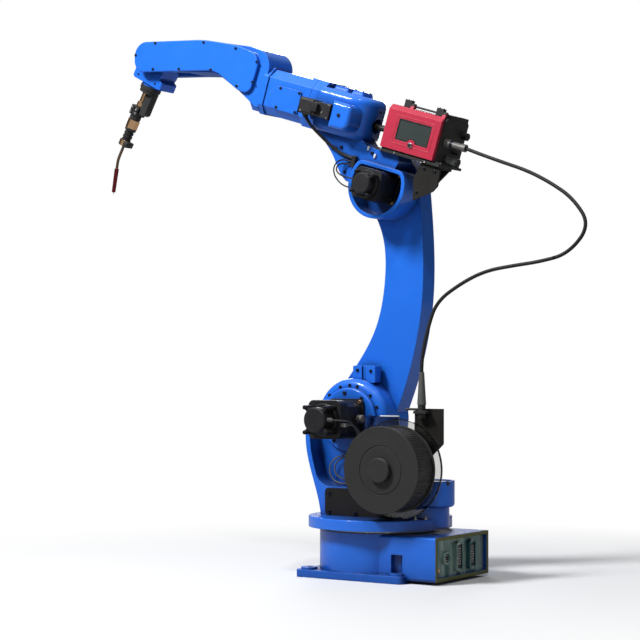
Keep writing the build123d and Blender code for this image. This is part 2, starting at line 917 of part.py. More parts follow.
def forearm_access_plate(side):
    """Cover plate on the box's side, half round at its front end."""
    outline = Pos(431, -12) * RectangleRounded(90, 84, 8) + Pos(478, -12) * Circle(42)
    plate = across(outline, forearm_half_width, forearm_half_width + 5)
    if side < 0:
        plate = mirror(plate, about=Plane.XZ)
    return forearm_frame * plate


def wrist_housing():
    """Wrist block, drawn along the tool axis from the wrist centre."""
    side = polygon((-20, -56), (46, -56), (60, -52), (68, -72), (95, -72), (98, 64), (88, 78), (-20, 62))
    width = 2 * wrist_half_width
    section = Plane.YZ * (Pos(0, 3) * RectangleRounded(width, 150, 10))
    block = across(side, -wrist_half_width, wrist_half_width)
    block &= extrude(Pos(-30, 0, 0) * section, amount=140, dir=(1, 0, 0))
    hub = disc_across(0, 0, wrist_hub_radius, -wrist_half_width, wrist_half_width)
    neck = rod_along(90, flange_start - 0.4, 0, 6, 38)
    return tool_frame * (block + hub + neck)


def tool_flange():
    flange = rod_along(flange_start, flange_face, 0, 6, flange_radius)
    return tool_frame * chamfer(flange.edges().group_by(Axis.X)[-1], 2)


def torch_bracket():
    """Adapter disc on the flange with the bar that holds the clamp."""
    disc = rod_along(flange_face, flange_face + 11, 0, 6, flange_radius - 3)
    bar = Pos(flange_face + 8, 0, clamp_bar_top) * Box(88, 34, 30, align=(Align.MIN, Align.CENTER, Align.MAX))
    bar = chamfer(bar.edges().group_by(Axis.X)[-1].filter_by(Axis.Y).group_by(Axis.Z)[0], 8)
    return tool_frame * (disc + bar)


def torch_clamp():
    clamp = Pos(clamp_start, 0, clamp_bar_top) * Box(34, 50, 43, align=(Align.MIN, Align.CENTER, Align.MIN))
    clamp = chamfer(clamp.edges().filter_by(Axis.X).group_by(Axis.Z)[-1], 8)
    return tool_frame * (clamp - rod_along(flange_face, neck_start, 0, torch_offset, torch_tail_radius))


def torch_tail():
    return tool_frame * rod_along(flange_face + 14, upper_nut_start, 0, torch_offset, torch_tail_radius)


def torch_nuts():
    """Hexagonal nuts at both ends of the torch's black body."""
    section = Plane.YZ * (Pos(0, torch_offset) * RegularPolygon(23, 6))
    nuts = [
        extrude(Pos(start, 0, 0) * section, amount=end - start, dir=(1, 0, 0))
        for start, end in [(upper_nut_start, barrel_start), (lower_nut_start, neck_start)]
    ]
    return tool_frame * Compound(nuts)


def torch_barrel():
    """Black body between the nuts, waisted by three grooves."""
    barrel = rod_along(barrel_start, lower_nut_start, 0, torch_offset, 18)
    for groove in (12, 26, 40):
        start = barrel_start + groove
        barrel -= ring_along(start, start + 5, 0, torch_offset, 30, 15)
    return tool_frame * barrel


def torch_neck():
    path = FilletPolyline((neck_start, 0, torch_offset), neck_bend, neck_end, radius=90)
    section = (path ^ 0) * Circle(5.5)
    return tool_frame * sweep(section, path=path)


def torch_nozzle():
    direction = Vector(*neck_end) - Vector(*neck_bend)
    frame = Plane(origin=neck_end, x_dir=(0, 1, 0), z_dir=direction)
    barrel = frame * Cone(8.5, 7, nozzle_length, align=(Align.CENTER, Align.CENTER, Align.MIN))
    return tool_frame * barrel


def gland(end, towards, radius, length):
    """Round cable end at a route's last point, which faces along the cable."""
    seat = Plane(origin=end, z_dir=Vector(*end) - Vector(*towards))
    return seat * Cylinder(radius, length, align=(Align.CENTER, Align.CENTER, Align.MIN))


def elbow_cable_ends():
    """Plug on the neck, and the glands under the roll motor and on the elbow motor."""
    plug_face = roll_motor_route[-1][0]
    plug = Pos(plug_face, neck_near_y, -153) * Box(
        14, 14, 40, align=(Align.MAX, Align.MIN, Align.CENTER)
    )
    motor_underside = roll_motor_height - roll_motor_size / 2
    collar = gland(roll_motor_route[0], roll_motor_route[1], 9, 30)
    collar -= Pos(*roll_motor_route[0][:2], motor_underside) * Box(
        90, 90, 90, align=(Align.CENTER, Align.CENTER, Align.MIN)
    )
    motor_side = forearm_setback + elbow_motor_size / 2
    motor_glands = [
        rod_along(motor_side, route[-1][0], route[-1][1], route[-1][2], 5)
        for route in (elbow_power_route, elbow_encoder_route)
    ]
    return forearm_frame * Compound([plug, collar, *motor_glands])


def shoulder_cable_ends():
    """Connectors on the shoulder motor, and the glands low on the turret's wall."""
    cap_plug = gland(shoulder_encoder_route[0], shoulder_encoder_route[1], 7, 24)
    cap_plug -= disc_across(
        shoulder_x, shoulder_z + shoulder_motor_rise, shoulder_cap_radius, 0, shoulder_cap_end
    )
    motor_side = shoulder_x - shoulder_motor_size / 2
    side_x, side_y, side_z = shoulder_power_route[0]
    side_plug = Pos(motor_side, side_y, side_z) * Box(
        motor_side - side_x + 7, shoulder_motor_end - side_y, 12, align=(Align.MAX, Align.MIN, Align.CENTER)
    )
    wall_glands = [
        gland(route[-1], route[-2], 6, 40) - Pos(0, ear_near_y, 0) * Box(
            900, 100, 900, align=(Align.CENTER, Align.MAX, Align.CENTER)
        )
        for route in (shoulder_encoder_route, shoulder_power_route)
    ]
    return Compound([cap_plug, side_plug, *wall_glands])


def largest_radii(points):
    """Each corner's arc is as large as its two runs allow."""
    found = []
    for before, here, after in zip(points, points[1:], points[2:]):
        first = Vector(*here) - Vector(*before)
        second = Vector(*after) - Vector(*here)
        turn = math.radians(first.get_angle(second))
        shorter = min(first.length, second.length)
        found.append(0.45 * shorter / math.tan(turn / 2))
    return found


def cable(name, points, diameter):
    """Round cable: straight runs joined by tangent arcs."""
    radii = largest_radii(points)
    path = FilletPolyline(*points, radius=radii)
    tube = sweep((path ^ 0) * Circle(diameter / 2), path=path)
    expected = math.pi * (diameter / 2) ** 2 * path.length
    print(name, "length", round(path.length), "volume share", round(tube.volume / expected, 4))
    print(name, "radii", [round(radius) for radius in radii])
    return tube


pieces = {
    "base_casting": base_casting(),
    "connector_panel": connector_panel(),
    "base_connectors": base_connectors(),
    "bearing_ring": bearing_ring(),
    "turret_casting": turret_casting(),
    "slew_motor_cup": slew_motor_cup(),
    "slew_motor_cap": slew_motor_cap(),
    "slew_cover_plate": slew_cover_plate(),
    "shoulder_motor": shoulder_motor(),
    "shoulder_motor_cap": shoulder_motor_cap(),
    "shoulder_stop": shoulder_stop(),
    "reel_bracket": reel_bracket(),
    "reel_axle": reel_axle(),
    "reel_guard": reel_guard(),
    "wire_reel": wire_reel(),
    "reel_wire": reel_wire(),
    "conduit_gland": conduit_gland(),
    "arm_casting": arm_casting(),
    "arm_foot_cover": arm_foot_cover(),
    "arm_head_cover": arm_head_cover(),
    "elbow_casting": elbow_casting(),
    "elbow_motor": elbow_motor(),
    "elbow_motor_cap": elbow_motor_cap(),
    "roll_gear_housing": roll_gear_housing(),
    "roll_motor": roll_motor(),
    "elbow_pads": elbow_pads(),
    "feeder_mount_plate": feeder_mount_plate(),
    "feeder_bracket": feeder_bracket(),
    "feeder_body": feeder_body(),
    "feeder_hinge": feeder_hinge(),
    "feeder_lid": feeder_lid(),
    "feeder_window": feeder_window(),
    "feeder_lock": feeder_lock(),
    "feeder_inlet": feeder_inlet(),
    "feeder_fittings": feeder_fittings(),
    "torch_cable": torch_cable(),
    "forearm_casting": forearm_casting(),
    "forearm_cover_near": forearm_cover(1),
    "forearm_cover_far": forearm_cover(-1),
    "forearm_plate_near": forearm_access_plate(1),
    "forearm_plate_far": forearm_access_plate(-1),
    "wrist_housing": wrist_housing(),
    "tool_flange": tool_flange(),
    "torch_bracket": torch_bracket(),
    "torch_clamp": torch_clamp(),
    "torch_tail": torch_tail(),
    "torch_nuts": torch_nuts(),
    "torch_barrel": torch_barrel(),
    "torch_neck": torch_neck(),
    "torch_nozzle": torch_nozzle(),
    "elbow_cable_ends": elbow_cable_ends(),
    "shoulder_cable_ends": shoulder_cable_ends(),
}

robot_frame = Location((0, 0, 0))
cables = {
    "conduit_upper": (robot_frame, conduit_route_upper, conduit_diameter),
    "conduit_lower": (robot_frame, conduit_route_lower, conduit_diameter),
    "roll_motor_cable": (forearm_frame, roll_motor_route, motor_cable_diameter),
    "elbow_power_lead": (forearm_frame, elbow_power_route, lead_diameter),
    "elbow_encoder_lead": (forearm_frame, elbow_encoder_route, lead_diameter),
    "shoulder_encoder_lead": (robot_frame, shoulder_encoder_route, lead_diameter),
    "shoulder_power_lead": (robot_frame, shoulder_power_route, lead_diameter),
}
for name, (frame, route, diameter) in cables.items():
    pieces[name] = frame * cable(name, route, diameter)

os.makedirs("parts", exist_ok=True)
for name, solid in pieces.items():
    export_step(solid, f"parts/{name}.step")
print("elbow", elbow, "roll foot", roll_foot, "wrist", wrist)
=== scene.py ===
import bmesh
import bpy
import math
from mathutils import Matrix, Vector


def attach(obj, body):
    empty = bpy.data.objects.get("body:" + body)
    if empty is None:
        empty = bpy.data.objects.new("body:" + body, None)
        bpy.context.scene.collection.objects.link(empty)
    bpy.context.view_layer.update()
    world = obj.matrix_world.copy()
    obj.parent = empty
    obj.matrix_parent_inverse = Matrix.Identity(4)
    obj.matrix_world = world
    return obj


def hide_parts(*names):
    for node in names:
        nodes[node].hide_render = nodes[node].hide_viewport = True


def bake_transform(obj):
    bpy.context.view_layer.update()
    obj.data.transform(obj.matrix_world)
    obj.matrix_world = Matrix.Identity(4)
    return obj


# Six-axis arc-welding robot arm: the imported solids, dressed with finishes, fasteners and cables.
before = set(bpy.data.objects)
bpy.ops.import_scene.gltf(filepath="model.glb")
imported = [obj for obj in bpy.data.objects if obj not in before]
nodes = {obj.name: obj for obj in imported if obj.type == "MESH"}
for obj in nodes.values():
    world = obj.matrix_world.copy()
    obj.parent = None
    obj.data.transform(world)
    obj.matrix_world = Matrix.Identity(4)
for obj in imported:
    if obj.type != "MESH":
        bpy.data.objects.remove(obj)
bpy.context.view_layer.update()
scene = bpy.context.scene
scene.view_settings.view_transform = "Standard"
print("frame loaded:", len(nodes), "nodes")


# Camera: behind the arm on its left, level, looking past the reel
camera = {
    "place": (-3.26, 5.203, 0.718),
    "azimuth": 214.0,
    "lens": 100.7,
    "shiftUp": 45 / 640,
}
lensData = bpy.data.cameras.new("camera")
lensData.lens = camera["lens"]
lensData.sensor_width = 36
lensData.shift_y = camera["shiftUp"]
lensData.clip_end = 60
cameraObject = bpy.data.objects.new("camera", lensData)
scene.collection.objects.link(cameraObject)
cameraObject.location = camera["place"]
cameraObject.rotation_euler = (math.radians(90), 0, math.radians(camera["azimuth"]))
scene.camera = cameraObject
print("camera placed")


# Frames of the leaning parts: local metres to the robot's own frame
def tiltedFrame(x, z, rise):
    return Matrix.Translation((x, 0, z)) @ Matrix.Rotation(math.radians(-rise), 4, "Y")


robotFrame = tiltedFrame(0, 0, 0)
armFrame = tiltedFrame(0.1, 0.53, 8.55)
forearmFrame = tiltedFrame(-0.085906, 1.525031, 17.4)
toolFrame = tiltedFrame(0.952307, 1.850387, -61)
bodyFrames = {
    "base": robotFrame, "turret": robotFrame, "lower_arm": armFrame, "elbow": forearmFrame,
    "lid": forearmFrame, "forearm": forearmFrame, "wrist": toolFrame, "tool": toolFrame,
}


# Shader helpers: a node with its inputs fed, and three small sums
def addNode(tree, kind, feeds=None, **settings):
    made = tree.nodes.new("ShaderNode" + kind)
    for key, value in settings.items():
        setattr(made, key, value)
    for key, value in (feeds or {}).items():
        if isinstance(value, bpy.types.NodeSocket):
            tree.links.new(value, made.inputs[key])
        else:
            made.inputs[key].default_value = value
    return made


def spread(tree, value, low, high, toLow=0.0, toHigh=1.0):
    feeds = {"Value": value, "From Min": low, "From Max": high, "To Min": toLow, "To Max": toHigh}
    return addNode(tree, "MapRange", feeds).outputs[0]


def combine(tree, operation, first, second):
    return addNode(tree, "Math", {0: first, 1: second}, operation=operation).outputs[0]


def mixColor(tree, share, first, second):
    return addNode(tree, "Mix", {0: share, 6: first, 7: second}, data_type="RGBA").outputs[2]


def objectNoise(tree, scale, detail=2.0, vector=None):
    if vector is None:
        vector = addNode(tree, "TexCoord").outputs["Object"]
    feeds = {"Vector": vector, "Scale": scale, "Detail": detail}
    return addNode(tree, "TexNoise", feeds).outputs[0]


def startGroup(name, inputs, outputs):
    group = bpy.data.node_groups.new(name, "ShaderNodeTree")
    kinds = {"color": "NodeSocketColor", "value": "NodeSocketFloat", "normal": "NodeSocketVector"}
    for socketName, kind in inputs:
        group.interface.new_socket(name=socketName, in_out="INPUT", socket_type=kinds[kind])
    for socketName, kind in outputs:
        group.interface.new_socket(name=socketName, in_out="OUTPUT", socket_type=kinds[kind])
    return group, group.nodes.new("NodeGroupInput").outputs, group.nodes.new("NodeGroupOutput").inputs


def useGroup(tree, group, feeds):
    placed = tree.nodes.new("ShaderNodeGroup")
    placed.node_tree = group
    for key, value in feeds.items():
        if isinstance(value, bpy.types.NodeSocket):
            tree.links.new(value, placed.inputs[key])
        else:
            placed.inputs[key].default_value = value
    return placed.outputs


# Edge wear and painted light: rounds the edges in shading, and finds outer edges and inner corners. Outer
# edges are worn lighter, and on some finishes also get a painted highlight. Inner corners are darkened with
# grime and painted shade
def buildEdgeWearAndShade():
    tree, given, result = startGroup(
        "edgeWearAndShade",
        [("Radius", "value"), ("Scale", "value"), ("Amount", "value")],
        [("Normal", "normal"), ("EdgeWearAndHighlight", "value"), ("Crevice", "value")],
    )
    rounded = addNode(tree, "Bevel", {"Radius": given["Radius"]}, samples=6).outputs[0]
    plain = addNode(tree, "NewGeometry").outputs["Normal"]
    facing = addNode(tree, "VectorMath", {0: rounded, 1: plain}, operation="DOT_PRODUCT").outputs["Value"]
    edge = spread(tree, facing, 0.985, 0.82)
    shade = addNode(tree, "AmbientOcclusion", {"Distance": 0.02}, samples=6, only_local=True).outputs["AO"]
    outer = spread(tree, shade, 0.72, 0.92)
    chips = spread(tree, objectNoise(tree, given["Scale"], 5.0), 0.42, 0.62)
    wearAndHighlight = combine(tree, "MULTIPLY", combine(tree, "MULTIPLY", edge, outer), chips)
    tree.links.new(rounded, result["Normal"])
    tree.links.new(combine(tree, "MULTIPLY", wearAndHighlight, given["Amount"]), result["EdgeWearAndHighlight"])
    tree.links.new(spread(tree, shade, 0.75, 0.25), result["Crevice"])
    return tree


# Mottle: slow variation of a colour, as paint and castings have
def buildMottle():
    tree, given, result = startGroup(
        "mottle", [("Color", "color"), ("Scale", "value"), ("Amount", "value")], [("Color", "color")]
    )
    cloud = objectNoise(tree, given["Scale"], 4.0)
    offset = combine(tree, "MULTIPLY", combine(tree, "SUBTRACT", cloud, 0.5), given["Amount"])
    level = combine(tree, "ADD", offset, 1.0)
    scaled = addNode(tree, "VectorMath", {0: given["Color"], "Scale": level}, operation="SCALE")
    tree.links.new(scaled.outputs[0], result["Color"])
    return tree


# Dust: settles on faces that look up, thicker in places
def buildDust():
    tree, given, result = startGroup(
        "settledDust", [("Amount", "value"), ("Scale", "value")], [("Dust", "value")]
    )
    upward = addNode(tree, "SeparateXYZ", {0: addNode(tree, "TexCoord").outputs["Normal"]}).outputs["Z"]
    lying = spread(tree, upward, 0.35, 1.0)
    patches = spread(tree, objectNoise(tree, given["Scale"], 6.0), 0.38, 0.75)
    lying = combine(tree, "MULTIPLY", lying, patches)
    tree.links.new(combine(tree, "MULTIPLY", lying, given["Amount"]), result["Dust"])
    return tree


# Grain: the fine relief of orange peel, cast metal or moulded plastic
def buildGrain():
    tree, given, result = startGroup(
        "grain", [("Scale", "value"), ("Roughness", "value")], [("Height", "value")]
    )
    vector = addNode(tree, "TexCoord").outputs["Object"]
    feeds = {"Vector": vector, "Scale": given["Scale"], "Detail": 3.0, "Roughness": given["Roughness"]}
    tree.links.new(addNode(tree, "TexNoise", feeds).outputs[0], result["Height"])
    return tree


edgeWearAndShade = buildEdgeWearAndShade()
mottle = buildMottle()
settledDust = buildDust()
grain = buildGrain()

# Finishes. Colours are linear and lengths are metres. Wear and mottle give an amount and a scale,
# and grain gives its scale, depth and roughness
commonLook = {"metallic": 0.0, "coat": 0.0, "specular": 0.3, "dust": 0.0}
finishes = {
    # Blue paint: its lighter edge colour is partly a painted highlight, and its dark colour also paints shade
    # in corners and hollows
    "bluePaint": {
        "color": (0.016, 0.165, 0.8), "wearAndHighlight": (0.1, 0.34, 0.94), "dirtAndShade": (0.002, 0.022, 0.12),
        "roughness": (0.3, 0.44), "coat": 0.5, "specular": 0.2, "edge": 0.0045, "wear": (0.55, 55),
        "mottle": (0.22, 5), "grain": (420, 0.00012, 0.35), "dust": 0.05, "paintedHollowShade": 0.8,
    },
    "redPaint": {
        "color": (0.5, 0.03, 0.066), "wearAndHighlight": (0.88, 0.2, 0.25), "dirtAndShade": (0.15, 0.006, 0.015),
        "roughness": (0.34, 0.46), "coat": 0.3, "specular": 0.2, "edge": 0.0022, "wear": (0.9, 30),
        "mottle": (0.14, 14), "grain": (700, 0.00008, 0.4), "dust": 0.05,
    },
    "motorBlack": {
        "color": (0.014, 0.014, 0.016), "wearAndHighlight": (0.1, 0.1, 0.105), "dirtAndShade": (0.004, 0.004, 0.005),
        "roughness": (0.38, 0.55), "edge": 0.002, "wear": (0.5, 90), "mottle": (0.6, 22),
        "grain": (1500, 0.00012, 0.6), "dust": 0.03,
    },
    "blackSteel": {
        "color": (0.03, 0.03, 0.03), "wearAndHighlight": (0.13, 0.13, 0.13), "dirtAndShade": (0.01, 0.01, 0.01),
        "roughness": (0.42, 0.58), "specular": 0.25, "edge": 0.0016, "wear": (0.5, 60),
        "mottle": (0.35, 10), "grain": (2200, 0.00008, 0.6), "dust": 0.05,
    },
    "plateBlack": {
        "color": (0.014, 0.013, 0.012), "wearAndHighlight": (0.09, 0.085, 0.08), "dirtAndShade": (0.005, 0.005, 0.004),
        "roughness": (0.42, 0.58), "specular": 0.22, "edge": 0.0014, "wear": (0.5, 60), "mottle": (0.4, 10),
        "grain": (2200, 0.00008, 0.6), "dust": 0.04,
    },
    "greyPlastic": {
        "color": (0.23, 0.24, 0.24), "wearAndHighlight": (0.42, 0.43, 0.43), "dirtAndShade": (0.12, 0.12, 0.11),
        "roughness": (0.42, 0.55), "edge": 0.0015, "wear": (0.4, 60), "mottle": (0.3, 18),
        "grain": (1800, 0.00006, 0.5), "dust": 0.1,
    },
    "windowGloss": {
        "color": (0.045, 0.058, 0.055), "wearAndHighlight": (0.12, 0.13, 0.13), "dirtAndShade": (0.02, 0.02, 0.02),
        "roughness": (0.07, 0.14), "edge": 0.001, "wear": (0.3, 40), "mottle": (0.2, 12),
        "grain": (60, 0.00004, 0.3), "dust": 0.04,
    },
    "rubberBlack": {
        "color": (0.016, 0.016, 0.017), "wearAndHighlight": (0.05, 0.05, 0.05), "dirtAndShade": (0.005, 0.005, 0.005),
        "roughness": (0.45, 0.62), "specular": 0.25, "edge": 0.001, "wear": (0.2, 60), "mottle": (0.4, 30),
        "grain": (1600, 0.00007, 0.5), "dust": 0.06,
    },
    "screwBlack": {
        "color": (0.014, 0.018, 0.032), "wearAndHighlight": (0.14, 0.15, 0.18), "dirtAndShade": (0.006, 0.006, 0.008),
        "roughness": (0.34, 0.48), "metallic": 0.6, "specular": 0.5, "edge": 0.0006, "wear": (0.5, 160),
        "mottle": (0.4, 60), "grain": (3000, 0.00003, 0.5), "dust": 0.03,
    },
    "leadGrey": {
        "color": (0.13, 0.125, 0.12), "wearAndHighlight": (0.25, 0.25, 0.24), "dirtAndShade": (0.04, 0.04, 0.04),
        "roughness": (0.4, 0.55), "edge": 0.001, "wear": (0.3, 60), "mottle": (0.3, 30),
        "grain": (1600, 0.00005, 0.5), "dust": 0.04,
    },
    # Plain white for small pale pieces that stand in for glints: painted highlights
    "glintWhite": {
        "color": (0.8, 0.81, 0.83), "wearAndHighlight": (0.9, 0.9, 0.9), "dirtAndShade": (0.4, 0.4, 0.38),
        "roughness": (0.3, 0.42), "edge": 0.001, "wear": (0.2, 60), "mottle": (0.1, 40),
        "grain": (1600, 0.00004, 0.5), "dust": 0.04,
    },
    "oliveStrip": {
        "color": (0.135, 0.145, 0.05), "wearAndHighlight": (0.4, 0.4, 0.18), "dirtAndShade": (0.05, 0.05, 0.015),
        "roughness": (0.4, 0.55), "edge": 0.001, "wear": (0.5, 50), "mottle": (0.6, 30),
        "grain": (900, 0.00006, 0.5), "dust": 0.05,
    },
    "bareSteel": {
        "color": (0.58, 0.59, 0.6), "wearAndHighlight": (0.78, 0.79, 0.8), "dirtAndShade": (0.16, 0.15, 0.14),
        "roughness": (0.24, 0.4), "metallic": 1.0, "specular": 0.5, "edge": 0.0008, "wear": (0.5, 90),
        "mottle": (0.2, 40), "grain": (2600, 0.00003, 0.6), "dust": 0.03,
    },
    "brass": {
        "color": (0.72, 0.44, 0.24), "wearAndHighlight": (0.9, 0.64, 0.4), "dirtAndShade": (0.22, 0.11, 0.06),
        "roughness": (0.2, 0.36), "metallic": 1.0, "specular": 0.5, "edge": 0.001, "wear": (0.6, 120),
        "mottle": (0.35, 50), "grain": (2400, 0.00003, 0.6),
    },
    "darkNickel": {
        "color": (0.13, 0.125, 0.12), "wearAndHighlight": (0.42, 0.41, 0.4), "dirtAndShade": (0.04, 0.04, 0.04),
        "roughness": (0.42, 0.55), "metallic": 0.3, "specular": 0.5, "edge": 0.001, "wear": (0.5, 90),
        "mottle": (0.5, 40), "grain": (2400, 0.00003, 0.6),
    },
    "darkBronze": {
        "color": (0.17, 0.115, 0.075), "wearAndHighlight": (0.5, 0.4, 0.32), "dirtAndShade": (0.035, 0.022, 0.015),
        "roughness": (0.22, 0.36), "metallic": 0.8, "specular": 0.5, "edge": 0.001, "wear": (0.5, 90),
        "mottle": (0.6, 50), "grain": (2400, 0.00003, 0.6),
    },
    "redCopper": {
        "color": (0.16, 0.014, 0.018), "wearAndHighlight": (0.6, 0.24, 0.22), "dirtAndShade": (0.05, 0.008, 0.01),
        "roughness": (0.18, 0.32), "metallic": 0.6, "specular": 0.5, "edge": 0.0008, "wear": (0.5, 120),
        "mottle": (0.5, 45), "grain": (2400, 0.00003, 0.6),
    },
}


dustLook = {"color": (0.55, 0.53, 0.5, 1), "scale": 26.0}
# Painted shade in deep hollows: how far the occlusion looks, and the openness at which the darkening starts
# and where it is full
paintedShadeLook = {"reach": 0.2, "open": 0.78, "closed": 0.38}


def startFinish(name):
    material = bpy.data.materials.new(name)
    material.use_nodes = True
    return material, material.node_tree, material.node_tree.nodes["Principled BSDF"]


def makeFinish(name, look):
    material, tree, shader = startFinish(name)
    (wear, wearScale), (mottled, mottleScale) = look["wear"], look["mottle"]
    grainScale, grainDepth, grainRoughness = look["grain"]
    dirtAndShade = (*look["dirtAndShade"], 1)
    edges = useGroup(tree, edgeWearAndShade, {"Radius": look["edge"], "Scale": wearScale, "Amount": wear})
    feeds = {"Color": (*look["color"], 1), "Scale": mottleScale, "Amount": mottled}
    color = useGroup(tree, mottle, feeds)["Color"]
    # inner corners darkened toward the dark colour: grime and painted shade
    color = mixColor(tree, edges["Crevice"], color, dirtAndShade)
    if "paintedHollowShade" in look:  # painted shade: a deep hollow is darkened, as under a hood
        reach = {"Distance": paintedShadeLook["reach"]}
        openness = addNode(tree, "AmbientOcclusion", reach, samples=8).outputs["AO"]
        depth = spread(tree, openness, paintedShadeLook["open"], paintedShadeLook["closed"], 0.0, look["paintedHollowShade"])
        color = mixColor(tree, depth, color, dirtAndShade)
    # outer edges lightened: worn paint, and on the blue paint a painted highlight
    color = mixColor(tree, edges["EdgeWearAndHighlight"], color, (*look["wearAndHighlight"], 1))
    dust = useGroup(tree, settledDust, {"Amount": look["dust"], "Scale": dustLook["scale"]})["Dust"]
    color = mixColor(tree, dust, color, dustLook["color"])
    patchy = spread(tree, objectNoise(tree, 30.0, 4.0), 0.3, 0.7, *look["roughness"])
    relief = useGroup(tree, grain, {"Scale": grainScale, "Roughness": grainRoughness})["Height"]
    feeds = {"Height": relief, "Normal": edges["Normal"], "Strength": 1.0, "Distance": grainDepth}
    bump = addNode(tree, "Bump", feeds)
    tree.links.new(color, shader.inputs["Base Color"])
    tree.links.new(combine(tree, "ADD", patchy, dust), shader.inputs["Roughness"])
    tree.links.new(bump.outputs[0], shader.inputs["Normal"])
    shader.inputs["Metallic"].default_value = look["metallic"]
    shader.inputs["Coat Weight"].default_value = look["coat"]
    shader.inputs["Coat Roughness"].default_value = 0.07
    shader.inputs["Specular IOR Level"].default_value = look["specular"]
    return material


finish = {name: makeFinish(name, {**commonLook, **look}) for name, look in finishes.items()}
print("finishes:", len(finish))


# Connector panel: grey-green plated sheet with soft upright streaks
panelLook = {
    "light": (0.34, 0.46, 0.42), "dark": (0.035, 0.13, 0.14), "blotch": (0.1, 0.09, 0.03),
    "crevice": (0.03, 0.04, 0.03), "stripe": 34.0, "roughness": (0.22, 0.45),
}


def makePanel():
    material, tree, shader = startFinish("platedPanel")
    coords = addNode(tree, "TexCoord").outputs["Object"]
    upright = addNode(tree, "Mapping", {"Vector": coords, "Scale": (1.0, 1.0, 0.12)}).outputs[0]
    streaks = objectNoise(tree, panelLook["stripe"], 3.0, upright)
    share = spread(tree, streaks, 0.4, 0.62)
    color = mixColor(tree, share, (*panelLook["dark"], 1), (*panelLook["light"], 1))
    blotches = spread(tree, objectNoise(tree, 60.0, 5.0), 0.55, 0.75)
    color = mixColor(tree, combine(tree, "MULTIPLY", blotches, 0.35), color, (*panelLook["blotch"], 1))
    edges = useGroup(tree, edgeWearAndShade, {"Radius": 0.001, "Scale": 60.0, "Amount": 0.4})
    # inner corners darkened: grime and painted shade
    color = mixColor(tree, edges["Crevice"], color, (*panelLook["crevice"], 1))
    tree.links.new(color, shader.inputs["Base Color"])
    tree.links.new(spread(tree, streaks, 0.3, 0.7, *panelLook["roughness"]), shader.inputs["Roughness"])
    tree.links.new(edges["Normal"], shader.inputs["Normal"])
    shader.inputs["Metallic"].default_value = 0.55
    return material


# Ribbed black band round the wire, with its ribs along the reel's axis; the grooves between the ribs are
# darkened as painted shade
windingLook = {"axis": (-0.157, 0.0, 0.374), "ribs": 90, "depth": 0.0012, "color": (0.02, 0.019, 0.018)}


def makeWinding():
    material, tree, shader = startFinish("ribbedBand")
    coords = addNode(tree, "TexCoord").outputs["Object"]
    axis = windingLook["axis"]
    centred = addNode(tree, "Mapping", {"Vector": coords, "Location": (-axis[0], 0.0, -axis[2])}).outputs[0]
    split = addNode(tree, "SeparateXYZ", {0: centred}).outputs
    angle = combine(tree, "ARCTAN2", split["X"], split["Z"])
    ribs = combine(tree, "MULTIPLY", angle, windingLook["ribs"])
    wave = addNode(tree, "Math", {0: ribs}, operation="SINE").outputs[0]
    bump = addNode(tree, "Bump", {"Height": spread(tree, wave, -0.6, 0.6), "Distance": windingLook["depth"]})
    shade = spread(tree, wave, -1.0, 1.0, 0.35, 1.0)
    dark = addNode(tree, "VectorMath", {0: windingLook["color"], "Scale": shade}, operation="SCALE")
    tree.links.new(dark.outputs[0], shader.inputs["Base Color"])
    tree.links.new(spread(tree, objectNoise(tree, 40.0), 0.3, 0.7, 0.45, 0.6), shader.inputs["Roughness"])
    tree.links.new(bump.outputs[0], shader.inputs["Normal"])
    return material


# Clear guard: lightly tinted acrylic with faint wipe marks
def makeClear(name, tint, roughness):
    material, tree, shader = startFinish(name)
    smear = objectNoise(tree, 18.0, 5.0)
    wiped = (*[0.94 * share for share in tint], 1)
    color = mixColor(tree, spread(tree, smear, 0.35, 0.7), (*tint, 1), wiped)
    tree.links.new(color, shader.inputs["Base Color"])
    tree.links.new(spread(tree, smear, 0.35, 0.75, *roughness), shader.inputs["Roughness"])
    shader.inputs["Transmission Weight"].default_value = 1.0
    shader.inputs["IOR"].default_value = 1.45
    return material


# Gland: dark grey boot above its black hexagonal fitting
def makeGland(look):
    material, tree, shader = startFinish("glandBoot")
    height = addNode(tree, "SeparateXYZ", {0: addNode(tree, "TexCoord").outputs["Object"]}).outputs["Z"]
    boot = spread(tree, height, look["from"], look["from"] + 0.0005)
    color = mixColor(tree, boot, (*look["fitting"], 1), (*look["boot"], 1))
    color = useGroup(tree, mottle, {"Color": color, "Scale": 30.0, "Amount": 0.3})["Color"]
    edges = useGroup(tree, edgeWearAndShade, {"Radius": 0.001, "Scale": 60.0, "Amount": 0.4})
    color = mixColor(tree, edges["EdgeWearAndHighlight"], color, (0.2, 0.2, 0.2, 1))
    relief = useGroup(tree, grain, {"Scale": 1500.0, "Roughness": 0.5})["Height"]
    feeds = {"Height": relief, "Normal": edges["Normal"], "Distance": 0.00006}
    tree.links.new(color, shader.inputs["Base Color"])
    tree.links.new(spread(tree, objectNoise(tree, 30.0), 0.3, 0.7, 0.42, 0.58), shader.inputs["Roughness"])
    tree.links.new(addNode(tree, "Bump", feeds).outputs[0], shader.inputs["Normal"])
    return material


finish["platedPanel"] = makePanel()
glandLook = {"from": 0.5872, "boot": (0.085, 0.087, 0.088), "fitting": (0.018, 0.018, 0.019)}
finish["glandBoot"] = makeGland(glandLook)
finish["ribbedBand"] = makeWinding()
finish["clearGuard"] = makeClear("clearGuard", (0.66, 0.66, 0.65), (0.03, 0.08))
# A darker grey clear, whose tint darkens what lies behind it; on the sheet over the guard this paints shade
finish["clearGrey"] = makeClear("clearGrey", (0.34, 0.34, 0.34), (0.04, 0.1))

